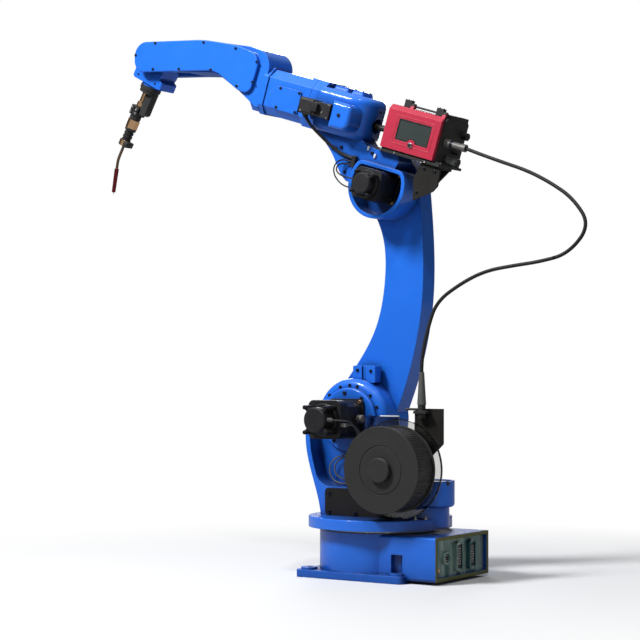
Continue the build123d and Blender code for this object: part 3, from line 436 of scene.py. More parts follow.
# Every solid's finish
nodeFinish = {
    "bluePaint": [
        "base_casting", "turret_casting", "slew_motor_cup", "shoulder_stop", "arm_casting", "arm_foot_cover",
        "arm_head_cover", "elbow_casting", "roll_gear_housing", "elbow_pads", "forearm_casting",
        "forearm_cover_near", "forearm_cover_far", "forearm_plate_near", "forearm_plate_far", "wrist_housing",
    ],
    "motorBlack": [
        "shoulder_motor", "shoulder_motor_cap", "elbow_motor", "elbow_motor_cap", "roll_motor",
        "torch_barrel", "feeder_fittings", "elbow_cable_ends", "torch_clamp",
    ],
    "blackSteel": [
        "reel_axle", "wire_reel", "feeder_mount_plate", "feeder_body", "feeder_hinge", "tool_flange",
        "torch_bracket",
    ],
    "plateBlack": ["slew_cover_plate", "reel_bracket", "feeder_bracket"],
    "redPaint": ["feeder_lid"],
    "windowGloss": ["feeder_window"],
    "greyPlastic": ["slew_motor_cap"],
    "darkNickel": ["feeder_inlet"],
    "darkBronze": ["torch_neck"],
    "leadGrey": ["shoulder_cable_ends"],
    "glandBoot": ["conduit_gland"],
    "platedPanel": ["connector_panel", "base_connectors"],
    "bareSteel": ["bearing_ring", "feeder_lock"],
    "brass": ["torch_tail", "torch_nuts"],
    "redCopper": ["torch_nozzle"],
    "rubberBlack": [
        "torch_cable", "conduit_upper", "conduit_lower", "roll_motor_cable", "elbow_power_lead",
        "elbow_encoder_lead", "shoulder_encoder_lead", "shoulder_power_lead",
    ],
    "ribbedBand": ["reel_wire"],
    "clearGuard": ["reel_guard"],
}
for look, named in nodeFinish.items():
    for name in named:
        holder = nodes[name]
        holder.data.materials.clear()
        holder.data.materials.append(finish[look])
missed = set(nodes) - {name for named in nodeFinish.values() for name in named}
print("solids dressed, without a finish:", sorted(missed))


# Cords: routes in metres, each a smooth line with these points as its control points
cords = {
    "conduitUpper": {
        "replaces": "conduit_upper", "frame": robotFrame, "diameter": 0.012, "finish": "rubberBlack",
        "stiffness": "stiff", "blend": ("elbow", "lower_arm", (-0.356, 0.036, 1.432), (-0.698, 0.074, 1.059)),
        "route": [
            (-0.356, 0.036, 1.432), (-0.400, 0.038, 1.414), (-0.492, 0.040, 1.379), (-0.586, 0.042, 1.345),
            (-0.673, 0.047, 1.300), (-0.753, 0.052, 1.246), (-0.817, 0.061, 1.158), (-0.746, 0.071, 1.070),
            (-0.698, 0.074, 1.059),
        ],
    },
    "conduitLower": {
        "replaces": "conduit_lower", "frame": robotFrame, "diameter": 0.012, "finish": "rubberBlack",
        "stiffness": "stiff",
        "blend": ("lower_arm", "turret", (-0.698, 0.074, 1.059), (-0.242, 0.130, 0.743)),
        "route": [
            (-0.698, 0.074, 1.059), (-0.650, 0.077, 1.048), (-0.556, 0.080, 1.038), (-0.458, 0.086, 1.024),
            (-0.371, 0.090, 0.987), (-0.283, 0.103, 0.927), (-0.257, 0.115, 0.840), (-0.242, 0.130, 0.743),
            (-0.242, 0.130, 0.695),
        ],
    },
    "rollMotorCable": {
        "replaces": "roll_motor_cable", "frame": forearmFrame, "diameter": 0.011, "finish": "rubberBlack",
        "stiffness": "medium", "body": "elbow",
        "route": [
            (0.317, 0.112, -0.049), (0.306, 0.104, -0.066), (0.285, 0.094, -0.082), (0.262, 0.080, -0.098),
            (0.227, 0.066, -0.119), (0.185, 0.056, -0.136), (0.148, 0.052, -0.143), (0.126, 0.052, -0.143),
        ],
    },
    "elbowPowerLead": {
        "replaces": "elbow_power_lead", "frame": forearmFrame, "diameter": 0.005, "finish": "rubberBlack",
        "stiffness": "medium", "body": "elbow",
        "route": [
            (0.126, 0.053, -0.155), (0.146, 0.053, -0.155), (0.166, 0.061, -0.157), (0.176, 0.074, -0.172),
            (0.173, 0.085, -0.194), (0.156, 0.093, -0.214), (0.132, 0.099, -0.228), (0.109, 0.103, -0.236),
            (0.086, 0.104, -0.238), (0.066, 0.104, -0.238),
        ],
    },
    "elbowEncoderLead": {
        "replaces": "elbow_encoder_lead", "frame": forearmFrame, "diameter": 0.005, "finish": "rubberBlack",
        "stiffness": "medium", "body": "elbow",
        "route": [
            (0.126, 0.053, -0.166), (0.144, 0.053, -0.166), (0.161, 0.064, -0.170), (0.167, 0.078, -0.183),
            (0.156, 0.089, -0.198), (0.134, 0.096, -0.206), (0.111, 0.101, -0.208), (0.088, 0.101, -0.206),
            (0.066, 0.101, -0.206),
        ],
    },
    "shoulderEncoderLead": {
        "replaces": "shoulder_encoder_lead", "frame": robotFrame, "diameter": 0.005, "finish": "leadGrey",
        "stiffness": "medium", "body": "turret",
        "route": [
            (0.047, 0.228, 0.534), (0.034, 0.216, 0.533), (0.027, 0.194, 0.531), (0.026, 0.165, 0.529),
            (0.027, 0.137, 0.520), (0.030, 0.112, 0.504), (0.032, 0.092, 0.484), (0.036, 0.074, 0.460),
            (0.046, 0.060, 0.434), (0.068, 0.053, 0.415), (0.097, 0.054, 0.409), (0.127, 0.057, 0.405),
            (0.152, 0.062, 0.393), (0.165, 0.067, 0.368), (0.162, 0.068, 0.341), (0.147, 0.067, 0.321),
            (0.123, 0.067, 0.312), (0.098, 0.066, 0.311), (0.079, 0.061, 0.312), (0.066, 0.050, 0.312),
        ],
    },
    "shoulderPowerLead": {
        "replaces": "shoulder_power_lead", "frame": robotFrame, "diameter": 0.005, "finish": "leadGrey",
        "stiffness": "medium", "body": "turret",
        "route": [
            (0.020, 0.180, 0.516), (0.020, 0.160, 0.516), (0.018, 0.138, 0.511), (0.018, 0.117, 0.501),
            (0.020, 0.099, 0.486), (0.026, 0.085, 0.468), (0.036, 0.077, 0.448), (0.054, 0.073, 0.430),
            (0.078, 0.071, 0.415), (0.104, 0.073, 0.402), (0.127, 0.076, 0.388), (0.138, 0.078, 0.366),
            (0.134, 0.076, 0.345), (0.118, 0.073, 0.331), (0.096, 0.070, 0.327), (0.077, 0.062, 0.328),
            (0.064, 0.050, 0.328),
        ],
    },
}


def routeMesh(name, facts, radius):
    curve = bpy.data.curves.new(name, "CURVE")
    curve.dimensions = "3D"
    line = curve.splines.new("NURBS")
    line.points.add(len(facts["route"]) - 1)
    for knot, point in zip(line.points, facts["route"]):
        knot.co = (*(facts["frame"] @ Vector(point)), 1)
    line.order_u = 3
    line.use_endpoint_u = True
    line.resolution_u = 10
    curve.bevel_depth = radius
    curve.bevel_resolution = 5
    curve.use_fill_caps = True
    holder = bpy.data.objects.new(name, curve)
    mesh = bpy.data.meshes.new_from_object(holder)
    bpy.data.objects.remove(holder)
    return mesh


for name, facts in cords.items():
    path = [vertex.co.copy() for vertex in routeMesh(name + "Line", facts, 0).vertices]
    tube = routeMesh(name, facts, facts["diameter"] / 2)
    bm = bmesh.new()
    bm.from_mesh(tube)
    bmesh.ops.remove_doubles(bm, verts=bm.verts, dist=0.00005)
    bmesh.ops.recalc_face_normals(bm, faces=bm.faces)
    bm.to_mesh(tube)
    bm.free()
    tube.shade_smooth()
    tube.materials.append(finish[facts["finish"]])
    piece = bpy.data.objects.new(name, tube)
    scene.collection.objects.link(piece)
    if "blend" in facts:
        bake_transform(piece)
    else:
        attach(piece, facts["body"])
    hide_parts(facts["replaces"])


# Mesh helpers: every new piece is shaped in its own frame, then placed in the robot's
def seatAt(place, point, facing, turn=0.0):
    outward = Vector(facing).normalized()
    guide = Vector((0, 1, 0)) if abs(outward.z) > 0.9 else Vector((0, 0, 1))
    across = guide.cross(outward).normalized()
    axes = Matrix((across, outward.cross(across), outward)).transposed().to_4x4()
    return place @ Matrix.Translation(point) @ axes @ Matrix.Rotation(turn, 4, "Z")


def placeCopies(bm, name, seats, body, look, sharp=35):
    bmesh.ops.recalc_face_normals(bm, faces=bm.faces)
    template = bpy.data.meshes.new(name + "One")
    bm.to_mesh(template)
    bm.free()
    joined = bmesh.new()
    for place in seats:
        before = len(joined.verts)
        joined.from_mesh(template)
        joined.verts.ensure_lookup_table()
        bmesh.ops.transform(joined, matrix=place, verts=joined.verts[before:])
    bpy.data.meshes.remove(template)
    mesh = bpy.data.meshes.new(name)
    joined.to_mesh(mesh)
    joined.free()
    mesh.shade_smooth()
    mesh.set_sharp_from_angle(angle=math.radians(sharp))
    mesh.materials.append(finish[look])
    piece = bpy.data.objects.new(name, mesh)
    scene.collection.objects.link(piece)
    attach(piece, body)
    return piece


def bevelEdges(bm, edges, offset, segments=2):
    bmesh.ops.bevel(
        bm, geom=edges, affect="EDGES", offset=offset, offset_type="OFFSET", segments=segments,
        profile=0.5, material=-1, clamp_overlap=True,
    )


def turned(profile, steps=28):
    bm = bmesh.new()
    ring = [bm.verts.new((radius, 0, height)) for radius, height in profile]
    edges = [bm.edges.new(pair) for pair in zip(ring, ring[1:])]
    if profile[0][0] > 0:
        edges.append(bm.edges.new((ring[-1], ring[0])))
    bmesh.ops.spin(
        bm, geom=ring + edges, cent=(0, 0, 0), axis=(0, 0, 1), angle=2 * math.pi, steps=steps, use_merge=True
    )
    bmesh.ops.remove_doubles(bm, verts=bm.verts, dist=1e-6)
    return bm


def block(size, bevel=0.0008, segments=2, base=True):
    bm = bmesh.new()
    bmesh.ops.create_cube(bm, size=1)
    bmesh.ops.scale(bm, verts=bm.verts, vec=size)
    if base:
        bmesh.ops.translate(bm, verts=bm.verts, vec=(0, 0, size[2] / 2))
    bevelEdges(bm, bm.edges[:], bevel, segments)
    return bm


def platePiece(corners, thickness, bevel=0.0006):
    bm = bmesh.new()
    face = bm.faces.new([bm.verts.new((x, y, 0)) for x, y in corners])
    raised = bmesh.ops.extrude_face_region(bm, geom=[face])["geom"]
    bmesh.ops.translate(
        bm, verts=[part for part in raised if isinstance(part, bmesh.types.BMVert)], vec=(0, 0, thickness)
    )
    bevelEdges(bm, bm.edges[:], bevel, 2)
    return bm


def framePiece(corners, width, thickness, bevel=0.0004):
    bm = bmesh.new()
    face = bm.faces.new([bm.verts.new((x, y, 0)) for x, y in corners])
    face.normal_update()
    bmesh.ops.inset_region(bm, faces=[face], thickness=width, use_boundary=True, use_even_offset=True)
    bmesh.ops.delete(bm, geom=[face], context="FACES")
    raised = bmesh.ops.extrude_face_region(bm, geom=bm.faces[:])["geom"]
    bmesh.ops.translate(
        bm, verts=[part for part in raised if isinstance(part, bmesh.types.BMVert)], vec=(0, 0, thickness)
    )
    bevelEdges(bm, [edge for edge in bm.edges if edge.calc_length() > width * 1.5], bevel, 1)
    return bm


def extrudeRim(bm, edges):
    made = bmesh.ops.extrude_edge_only(bm, edges=edges)["geom"]
    verts = [part for part in made if isinstance(part, bmesh.types.BMVert)]
    return verts, [part for part in made if isinstance(part, bmesh.types.BMEdge)
                   and part.verts[0] in verts and part.verts[1] in verts]


# Socket-head cap screw: hexagonal socket, round head with a small bevel, standing on its seat
def socketScrew(radius, height):
    bm = bmesh.new()
    floor = bmesh.ops.create_circle(bm, cap_ends=True, segments=12, radius=radius * 0.52)["verts"]
    for corner in floor[1::2]:
        corner.co *= math.cos(math.radians(30))
    bmesh.ops.translate(bm, verts=floor, vec=(0, 0, height * 0.35))
    wall, rim = extrudeRim(bm, bm.edges[:])
    bmesh.ops.translate(bm, verts=wall, vec=(0, 0, height * 0.65))
    head, outer = extrudeRim(bm, rim)
    for corner in head:
        corner.co.xy = corner.co.xy.normalized() * radius
    skirt, lower = extrudeRim(bm, outer)
    bmesh.ops.translate(bm, verts=skirt, vec=(0, 0, -height - 0.0003))
    bmesh.ops.holes_fill(bm, edges=lower, sides=0)
    bevelEdges(bm, outer, radius * 0.14, 2)
    return bm


# Hexagon-head bolt on a washer
def hexBolt(radius, height):
    bm = bmesh.new()
    bmesh.ops.create_cone(bm, cap_ends=True, segments=6, radius1=radius, radius2=radius, depth=height)
    bmesh.ops.translate(bm, verts=bm.verts, vec=(0, 0, height / 2 + radius * 0.22))
    bevelEdges(bm, bm.edges[:], radius * 0.08, 1)
    washer = turned([(0, 0), (radius * 1.35, 0), (radius * 1.35, radius * 0.2), (0, radius * 0.2)], 20)
    mesh = bpy.data.meshes.new("washerOne")
    washer.to_mesh(mesh)
    washer.free()
    bm.from_mesh(mesh)
    bpy.data.meshes.remove(mesh)
    return bm


near, far, up, back = (0, 1, 0), (0, -1, 0), (0, 0, 1), (-1, 0, 0)


def ringOf(center, radius, count, y, start=0.0):
    return [
        (center[0] + radius * math.cos(start + k * 2 * math.pi / count), y,
         center[1] + radius * math.sin(start + k * 2 * math.pi / count))
        for k in range(count)
    ]


def cornersOf(center, half, y):
    return [(center[0] + a * half, y, center[1] + b * half) for a in (-1, 1) for b in (-1, 1)]


coverPoints = [
    (1.074, 0.058), (0.854, 0.106), (0.706, 0.115), (0.6, 0.088), (0.598, 0.016), (0.662, -0.012),
    (0.793, 0.019), (0.937, -0.01), (1.056, -0.036), (1.152, -0.004),
]
plateCorners = [(0.478, 0.022), (0.394, 0.022), (0.478, -0.046), (0.394, -0.046)]
earAngles = [-22, 0, 22, 45, 71, 90, 105, 135, 158, 180, 202]

# Screws: the seats of every group, and its heads' radius and height. Most are black
screws = {
    "earScrews": {
        "body": "turret", "facing": near, "size": (0.0052, 0.004), "points": [
            (0.1 + 0.1185 * math.cos(math.radians(a)), 0.0378, 0.53 + 0.1185 * math.sin(math.radians(a)))
            for a in earAngles
        ],
    },
    "ringScrews": {
        "body": "turret", "facing": near, "size": (0.0062, 0.0045),
        "points": ringOf((0.1, 0.53), 0.0928, 8, 0.052, math.radians(82.5)),
    },
    "shoulderFlangeScrews": {
        "body": "turret", "facing": near, "size": (0.0065, 0.006), "look": "brass",
        "points": cornersOf((0.1, 0.534), 0.0585, 0.063),
    },
    "shoulderLugScrews": {
        "body": "turret", "facing": near, "size": (0.0042, 0.003),
        "points": cornersOf((0.1, 0.534), 0.0419, 0.254),
    },
    "elbowFlangeScrews": {
        "body": "elbow", "facing": near, "size": (0.0052, 0.005), "look": "brass",
        "points": cornersOf((0.004, -0.2077), 0.0468, 0.003),
    },
    "elbowLugScrews": {
        "body": "elbow", "facing": near, "size": (0.0036, 0.003),
        "points": cornersOf((0.004, -0.2077), 0.0333, 0.154),
    },
    "turretCoverScrews": {
        "body": "turret", "facing": near, "size": (0.0062, 0.0055), "points": [
            (0.14, 0.105, 0.279), (0.14, 0.105, 0.217), (0.033, 0.105, 0.215), (0.033, 0.105, 0.287),
            (-0.1, 0.105, 0.217),
        ],
    },
    "stopScrews": {
        "body": "turret", "facing": near, "size": (0.0055, 0.004),
        "points": [(0.086, 0.01, 0.7), (0.032, 0.01, 0.697)],
    },
    "padScrews": {
        "body": "elbow", "facing": up, "size": (0.0034, 0.0016), "points": [
            (x + a * (half - 0.007), b * 0.024, 0.082)
            for x, half in ((0.258, 0.028), (0.188, 0.022)) for a in (-1, 1) for b in (-1, 1)
        ],
    },
    "gearCaseScrews": {
        "body": "elbow", "facing": near, "size": (0.0058, 0.0045), "points": [(0.168, 0.142, -0.012)],
    },
    "webScrews": {
        "body": "elbow", "facing": near, "size": (0.0055, 0.0045),
        "points": [(0.188, 0.046, -0.118), (0.15, 0.046, -0.196), (0.06, 0.046, -0.108)],
    },
    "railScrews": {
        "body": "elbow", "facing": near, "size": (0.0036, 0.003), "look": "bareSteel",
        "points": [(-0.044, 0.075, -0.0855), (-0.168, 0.075, -0.0855), (0.012, 0.075, -0.0855)],
    },
    "feederBaseScrews": {
        "body": "elbow", "facing": back, "size": (0.0032, 0.003), "look": "bareSteel",
        "points": [(-0.217, 0.058, -0.078), (-0.217, -0.058, -0.078)],
    },
    "bracketScrews": {
        "body": "elbow", "facing": near, "size": (0.0048, 0.004),
        "points": [(-0.165, 0.062, -0.108), (-0.208, 0.062, -0.108), (-0.16, 0.062, -0.19)],
    },
    "hingeScrews": {
        "body": "elbow", "facing": up, "size": (0.0032, 0.0028), "look": "bareSteel",
        "points": [(x + a * 0.008, 0.054, 0.098) for x in (-0.04, -0.168) for a in (-1, 1)],
    },
    "rollMotorScrews": {
        "body": "elbow", "facing": near, "size": (0.0026, 0.0022), "look": "bareSteel", "points": [
            (0.213, 0.146, 0.011), (0.213, 0.146, -0.033), (0.325, 0.146, -0.03), (0.238, 0.143, -0.02),
        ],
    },
    "coverScrewsNear": {
        "body": "forearm", "facing": near, "size": (0.0048, 0.0035),
        "points": [(x, 0.086, z) for x, z in coverPoints],
    },
    "plateScrewsNear": {
        "body": "forearm", "facing": near, "size": (0.0048, 0.0035),
        "points": [(x, 0.077, z) for x, z in plateCorners],
    },
    "footCoverScrews": {
        "body": "lower_arm", "facing": far, "size": (0.0062, 0.005),
        "points": ringOf((0, 0), 0.084, 10, -0.128),
    },
    "footRimScrews": {
        "body": "lower_arm", "facing": far, "size": (0.0075, 0.006),
        "points": ringOf((0, 0), 0.12, 16, -0.119),
    },
    "headCoverScrews": {
        "body": "lower_arm", "facing": far, "size": (0.0055, 0.0045),
        "points": ringOf((0, 0.807), 0.064, 8, -0.128),
    },
    "headRimScrews": {
        "body": "lower_arm", "facing": far, "size": (0.0062, 0.005),
        "points": ringOf((0, 0.807), 0.094, 12, -0.119),
    },
    "wristScrews": {
        "body": "wrist", "facing": near, "size": (0.004, 0.0016),
        "points": [(0.082, 0.045, 0.05), (0.082, 0.045, -0.04)],
    },
    "adapterScrews": {
        "body": "tool", "facing": (1, 0, 0), "size": (0.0036, 0.003), "points": [
            (0.134, 0.029 * math.cos(a), 0.006 + 0.029 * math.sin(a))
            for a in [math.radians(60 * k) for k in range(6)]
        ],
    },
    "clampScrews": {
        "body": "tool", "facing": near, "size": (0.0042, 0.004), "look": "bareSteel", "points": [
            (0.206, 0.025, 0.034), (0.222, 0.025, 0.034), (0.206, 0.025, 0.01), (0.222, 0.025, 0.01),
        ],
    },
    "reelBracketScrews": {
        "body": "turret", "facing": near, "size": (0.0062, 0.005),
        "points": [(-0.075, 0.113, 0.245), (-0.105, 0.113, 0.245), (-0.09, 0.113, 0.285)],
    },
    "slewCapScrews": {
        "body": "turret", "facing": up, "size": (0.0042, 0.0035), "points": [
            (-0.203 + 0.055 * math.cos(a), 0.055 * math.sin(a), 0.325)
            for a in [math.radians(45 + 90 * k) for k in range(4)]
        ],
    },
    "panelScrews": {
        "body": "base", "facing": back, "size": (0.0042, 0.003), "look": "bareSteel",
        "points": [(-0.308, a * 0.155, z) for a in (-1, 1) for z in (0.031, 0.134)],
    },
    "housingRearScrews": {
        "body": "elbow", "facing": back, "size": (0.0045, 0.0035),
        "points": [(0.098, 0.0, 0.03), (0.098, 0.0, -0.066)],
    },
    "feederFarScrews": {
        "body": "elbow", "facing": far, "size": (0.0036, 0.003), "look": "bareSteel",
        "points": [(x, -0.082, z) for x in (-0.19, 0.0) for z in (-0.062, 0.052)],
    },
}
farTwins = {
    "coverScrewsNear": "coverScrewsFar", "plateScrewsNear": "plateScrewsFar", "wristScrews": "wristScrewsFar",
}
screwGroups = {}
for name, facts in screws.items():
    screwGroups[name] = facts
    if name in farTwins:
        mirrored = [(x, -y, z) for x, y, z in facts["points"]]
        screwGroups[farTwins[name]] = {**facts, "facing": far, "points": mirrored}
for name, facts in screwGroups.items():
    seats = [
        seatAt(bodyFrames[facts["body"]], point, facts["facing"], 0.9 * k)  # each socket turned its own way
        for k, point in enumerate(facts["points"])
    ]
    placeCopies(socketScrew(*facts["size"]), name, seats, facts["body"], facts.get("look", "screwBlack"))
print("screw groups:", len(screwGroups))


# Flat pieces are drawn as (x, z) outlines and stand with their outer face at the given y
def sidePlace(place, y):
    return place @ Matrix.Translation((0, y, 0)) @ Matrix.Rotation(math.radians(90), 4, "X")


def rectangle(center, width, height):
    (x, z), a, b = center, width / 2, height / 2
    return [(x - a, z - b), (x + a, z - b), (x + a, z + b), (x - a, z + b)]


# Turned parts: profile as (radius, height) pairs, seat and direction
turnedParts = {
    "guardRim": {
        "body": "turret", "look": "clearGrey", "facing": near, "steps": 96,
        "points": [(-0.157, 0.132, 0.374)],
        "profile": [(0.1622, 0), (0.1658, 0), (0.1658, 0.0065), (0.1622, 0.0065)],
    },
    "shoulderConnector": {
        "body": "turret", "look": "leadGrey", "facing": back, "steps": 28,
        "points": [(0.0352, 0.088, 0.535)], "profile": [
            (0, 0), (0.014, 0), (0.014, 0.01), (0.0125, 0.0115), (0.0125, 0.013), (0.014, 0.0145),
            (0.014, 0.02), (0.0115, 0.0225), (0, 0.0225),
        ],
    },
    "lockCore": {
        "body": "lid", "look": "screwBlack", "facing": near, "steps": 24,
        "points": [(-0.101, 0.0878, -0.046)],
        "profile": [(0, 0), (0.0066, 0), (0.0066, 0.001), (0.006, 0.0014), (0, 0.0014)],
    },
    "lidEyes": {
        "body": "lid", "look": "blackSteel", "facing": back, "steps": 24,
        "points": [(-0.0547, 0.055, 0.081), (-0.1827, 0.055, 0.081)], "profile": [
            (0.0039, 0), (0.0085, 0), (0.0092, 0.001), (0.0092, 0.0116), (0.0085, 0.0126),
            (0.0039, 0.0126),
        ],
    },
    "fittingSleeve": {
        "body": "elbow", "look": "greyPlastic", "facing": back, "steps": 28,
        "points": [(-0.2055, 0.004, -0.062)], "profile": [
            (0.0092, 0), (0.012, 0), (0.012, 0.01), (0.0112, 0.012), (0.0112, 0.016), (0.012, 0.018),
            (0.012, 0.038), (0.0108, 0.04), (0.0092, 0.04),
        ],
    },
    "sleeveNut": {
        "body": "elbow", "look": "blackSteel", "facing": back, "steps": 6,
        "points": [(-0.2445, 0.004, -0.062)], "profile": [
            (0, 0.0005), (0.0125, 0.0005), (0.0132, 0.0012), (0.0132, 0.0098), (0.0125, 0.0108),
            (0, 0.0108),
        ],
    },
    "inletLock": {
        "body": "elbow", "look": "screwBlack", "facing": back, "steps": 36,
        "points": [(-0.2265, 0.036, -0.008)], "profile": [
            (0.0112, 0), (0.0134, 0), (0.0134, 0.004), (0.0124, 0.005), (0.0124, 0.008), (0.0112, 0.008),
        ],
    },
    "clampCollar": {
        "body": "tool", "look": "blackSteel", "facing": (1, 0, 0), "steps": 28,
        "points": [(0.23, 0, 0.022)], "profile": [
            (0.0103, 0), (0.02, 0), (0.0215, 0.0015), (0.0215, 0.017), (0.0195, 0.0195),
            (0.0103, 0.0195),
        ],
    },
    "barrelSleeve": {
        "body": "tool", "look": "blackSteel", "facing": (1, 0, 0), "steps": 32,
        "points": [(0.2842, 0, 0.022)],
        "profile": [(0.0182, 0), (0.0218, 0), (0.0218, 0.0085), (0.0205, 0.0105), (0.0182, 0.0105)],
    },
    "tailFitting": {
        "body": "tool", "look": "brass", "facing": (1, 0, 0), "steps": 6, "points": [(0.1775, 0, 0.022)],
        "profile": [
            (0.0102, 0), (0.0135, 0), (0.0148, 0.0012), (0.0148, 0.0165), (0.0135, 0.018),
            (0.0102, 0.018),
        ],
    },
    "greaseNipples": {
        "body": "turret", "look": "bareSteel", "facing": up, "steps": 16,
        "points": [(-0.205, 0.108, 0.2038), (-0.222, 0.07, 0.2038), (0.15, -0.12, 0.2038)], "profile": [
            (0, 0), (0.0055, 0), (0.0055, 0.004), (0.003, 0.005), (0.0026, 0.008), (0.0038, 0.0095),
            (0.003, 0.012), (0, 0.0125),
        ],
    },
    "roundInsert": {
        "body": "base", "look": "rubberBlack", "facing": back, "steps": 28,
        "points": [(-0.3078, 0.092, 0.0825)],
        "profile": [(0, 0), (0.0146, 0), (0.0146, 0.006), (0.0138, 0.007), (0, 0.007)],
    },
    "coverHubs": {
        "body": "lower_arm", "look": "bluePaint", "facing": far, "steps": 48,
        "points": [(0, -0.1278, 0), (0, -0.1278, 0.807)],
        "profile": [(0, 0), (0.036, 0), (0.036, 0.0035), (0.034, 0.0055), (0, 0.0055)],
    },
    "oilPlugs": {
        "body": "lower_arm", "look": "bareSteel", "facing": far, "steps": 6,
        "points": [(0.0, -0.1278, 0.056), (0.0, -0.1278, 0.757), (0.0, -0.1278, -0.056)],
        "profile": [(0, 0), (0.0085, 0), (0.0092, 0.0008), (0.0092, 0.0055), (0.0085, 0.0065), (0, 0.0065)],
    },
}
for name, facts in turnedParts.items():
    seats = [seatAt(bodyFrames[facts["body"]], point, facts["facing"]) for point in facts["points"]]
    placeCopies(turned(facts["profile"], facts["steps"]), name, seats, facts["body"], facts["look"])

# Blocks: centre of the face that sits on the machine, size, and the way the block stands out
blocks = {
    "shoulderDog": {
        "body": "turret", "look": "blackSteel", "facing": up, "size": (0.012, 0.016, 0.014),
        "bevel": 0.0015, "points": [(-0.274, 0.018, 0.316)],
    },
    "feederRearTop": {
        "body": "elbow", "look": "blackSteel", "facing": up, "size": (0.032, 0.118, 0.012), "bevel": 0.002,
        "points": [(-0.1885, -0.016, 0.0718)],
    },
    "insulators": {
        "body": "base", "look": "leadGrey", "facing": back, "size": (0.026, 0.07, 0.007), "bevel": 0.0012,
        "points": [(-0.3078, -0.078, 0.0825), (-0.3078, 0.01, 0.0825)],
    },
    "plugLatches": {
        "body": "base", "look": "bareSteel", "facing": (0, 0, 1), "size": (0.008, 0.018, 0.0045),
        "bevel": 0.001, "points": [(-0.3135, y, z) for y in (-0.078, 0.01) for z in (0.1285, 0.0325)],
    },
    "lowerNutLever": {
        "body": "tool", "look": "blackSteel", "facing": (1, 0, 0), "size": (0.04, 0.02, 0.021),
        "bevel": 0.002, "points": [(0.3355, 0.002, 0.0035)],
    },
    # White blocks on the feeder's neck: painted highlights, standing in for glints
    "glintClips": {
        "body": "elbow", "look": "glintWhite", "facing": near, "size": (0.007, 0.015, 0.006),
        "bevel": 0.0015, "points": [(0.078, 0.0458, -0.096), (0.045, 0.0458, -0.115)],
    },
    "feederRibs": {
        "body": "elbow", "look": "blackSteel", "facing": far, "size": (0.11, 0.0045, 0.0022),
        "bevel": 0.0008, "points": [(-0.095, -0.0818, z) for z in (-0.04, -0.024, -0.008, 0.008, 0.024)],
    },
    "lockSlot": {
        "body": "lid", "look": "bareSteel", "facing": near, "size": (0.0014, 0.007, 0.0008),
        "bevel": 0.0002, "points": [(-0.101, 0.0888, -0.046)],
    },
    "cableSaddles": {
        "body": "elbow", "look": "rubberBlack", "facing": near, "size": (0.02, 0.012, 0.005),
        "bevel": 0.0012, "points": [(0.214, 0.0458, -0.128)],
    },
}
for name, facts in blocks.items():
    seats = [seatAt(bodyFrames[facts["body"]], point, facts["facing"]) for point in facts["points"]]
    placeCopies(block(facts["size"], facts["bevel"]), name, seats, facts["body"], facts["look"])

# Grey clear sheet over the reel's guard, whose tint darkens the blue behind it to navy as painted shade, with
# a pale strip along part of its top edge as a painted highlight
sheetLook = {
    "outline": [(-0.161, 0.43), (-0.03, 0.43), (-0.03, 0.54), (-0.036, 0.548), (-0.161, 0.548)],
    "place": 0.1398, "thickness": 0.0024,
    "strip": [(-0.16, 0.5462), (-0.086, 0.5462), (-0.086, 0.55), (-0.16, 0.55)],
    "stripPlace": 0.1407, "stripThickness": 0.0042,
}
placeCopies(
    platePiece(sheetLook["outline"], sheetLook["thickness"], 0.0004), "shadeSheet",
    [sidePlace(robotFrame, sheetLook["place"])], "turret", "clearGrey",
)
# pale strip along the sheet's top edge: a painted highlight
placeCopies(
    platePiece(sheetLook["strip"], sheetLook["stripThickness"], 0.0006), "sheetGlintStrip",
    [sidePlace(robotFrame, sheetLook["stripPlace"])], "turret", "glintWhite",
)

# Lid: a black frame round the window, which goes round the lock, as a painted shadow line at the window's
# edge, and a low pressed border round it
lockNotch = {"center": (-0.101, -0.044), "radius": 0.0172, "angles": range(164, 10, -14)}
notch = [
    tuple(middle + lockNotch["radius"] * turn(math.radians(angle))
          for middle, turn in zip(lockNotch["center"], (math.cos, math.sin)))
    for angle in lockNotch["angles"]
]
windowOutline = [(-0.1666, 0.0316), (-0.1666, -0.0396), *notch, (-0.0354, -0.0396), (-0.0354, 0.0316)]
placeCopies(
    framePiece(windowOutline, 0.0032, 0.0024, 0.0003), "windowShadeFrame",
    [sidePlace(forearmFrame, 0.0826)], "lid", "rubberBlack",
)
placeCopies(
    framePiece(rectangle((-0.101, -0.006), 0.154, 0.096), 0.003, 0.0012, 0.0004), "lidBorder",
    [sidePlace(forearmFrame, 0.0829)], "lid", "redPaint",
)

# Trim round the connector box, and contact pins in the plugs
trimLook = {"place": (-0.3217, 0, 0.0825), "size": (0.1462, 0.3552), "width": 0.0122, "thickness": 0.0018}
trimTurn = Matrix.Rotation(math.radians(-90), 4, "Y")
placeCopies(
    framePiece(rectangle((0.0, 0.0), *trimLook["size"]), trimLook["width"], trimLook["thickness"], 0.0005),
    "boxTrim", [Matrix.Translation(trimLook["place"]) @ trimTurn], "base", "oliveStrip",
)
pinLook = {
    "back": -0.3146, "height": 0.0825, "plugs": (-0.078, 0.01), "columnStep": 0.0068, "rowStep": 0.0085,
    "roundPlug": 0.092, "roundRadius": 0.0085,
    "profile": [(0, 0), (0.0016, 0), (0.0016, 0.0022), (0.001, 0.003), (0, 0.003)],
}
pinPoints = [
    (pinLook["back"], y + column * pinLook["columnStep"], pinLook["height"] + row * pinLook["rowStep"])
    for y in pinLook["plugs"] for column in (-1, 0, 1) for row in range(-3, 4)
] + [
    (pinLook["back"], pinLook["roundPlug"] + pinLook["roundRadius"] * math.cos(k * math.pi / 3),
     pinLook["height"] + pinLook["roundRadius"] * math.sin(k * math.pi / 3))
    for k in range(6)
]
pinSeats = [seatAt(robotFrame, point, back) for point in pinPoints]
placeCopies(turned(pinLook["profile"], 8), "contactPins", pinSeats, "base", "bareSteel")
placeCopies(
    hexBolt(0.0062, 0.005), "groundStud", [seatAt(robotFrame, (-0.3078, 0.14, 0.045), back)], "base", "brass"
)

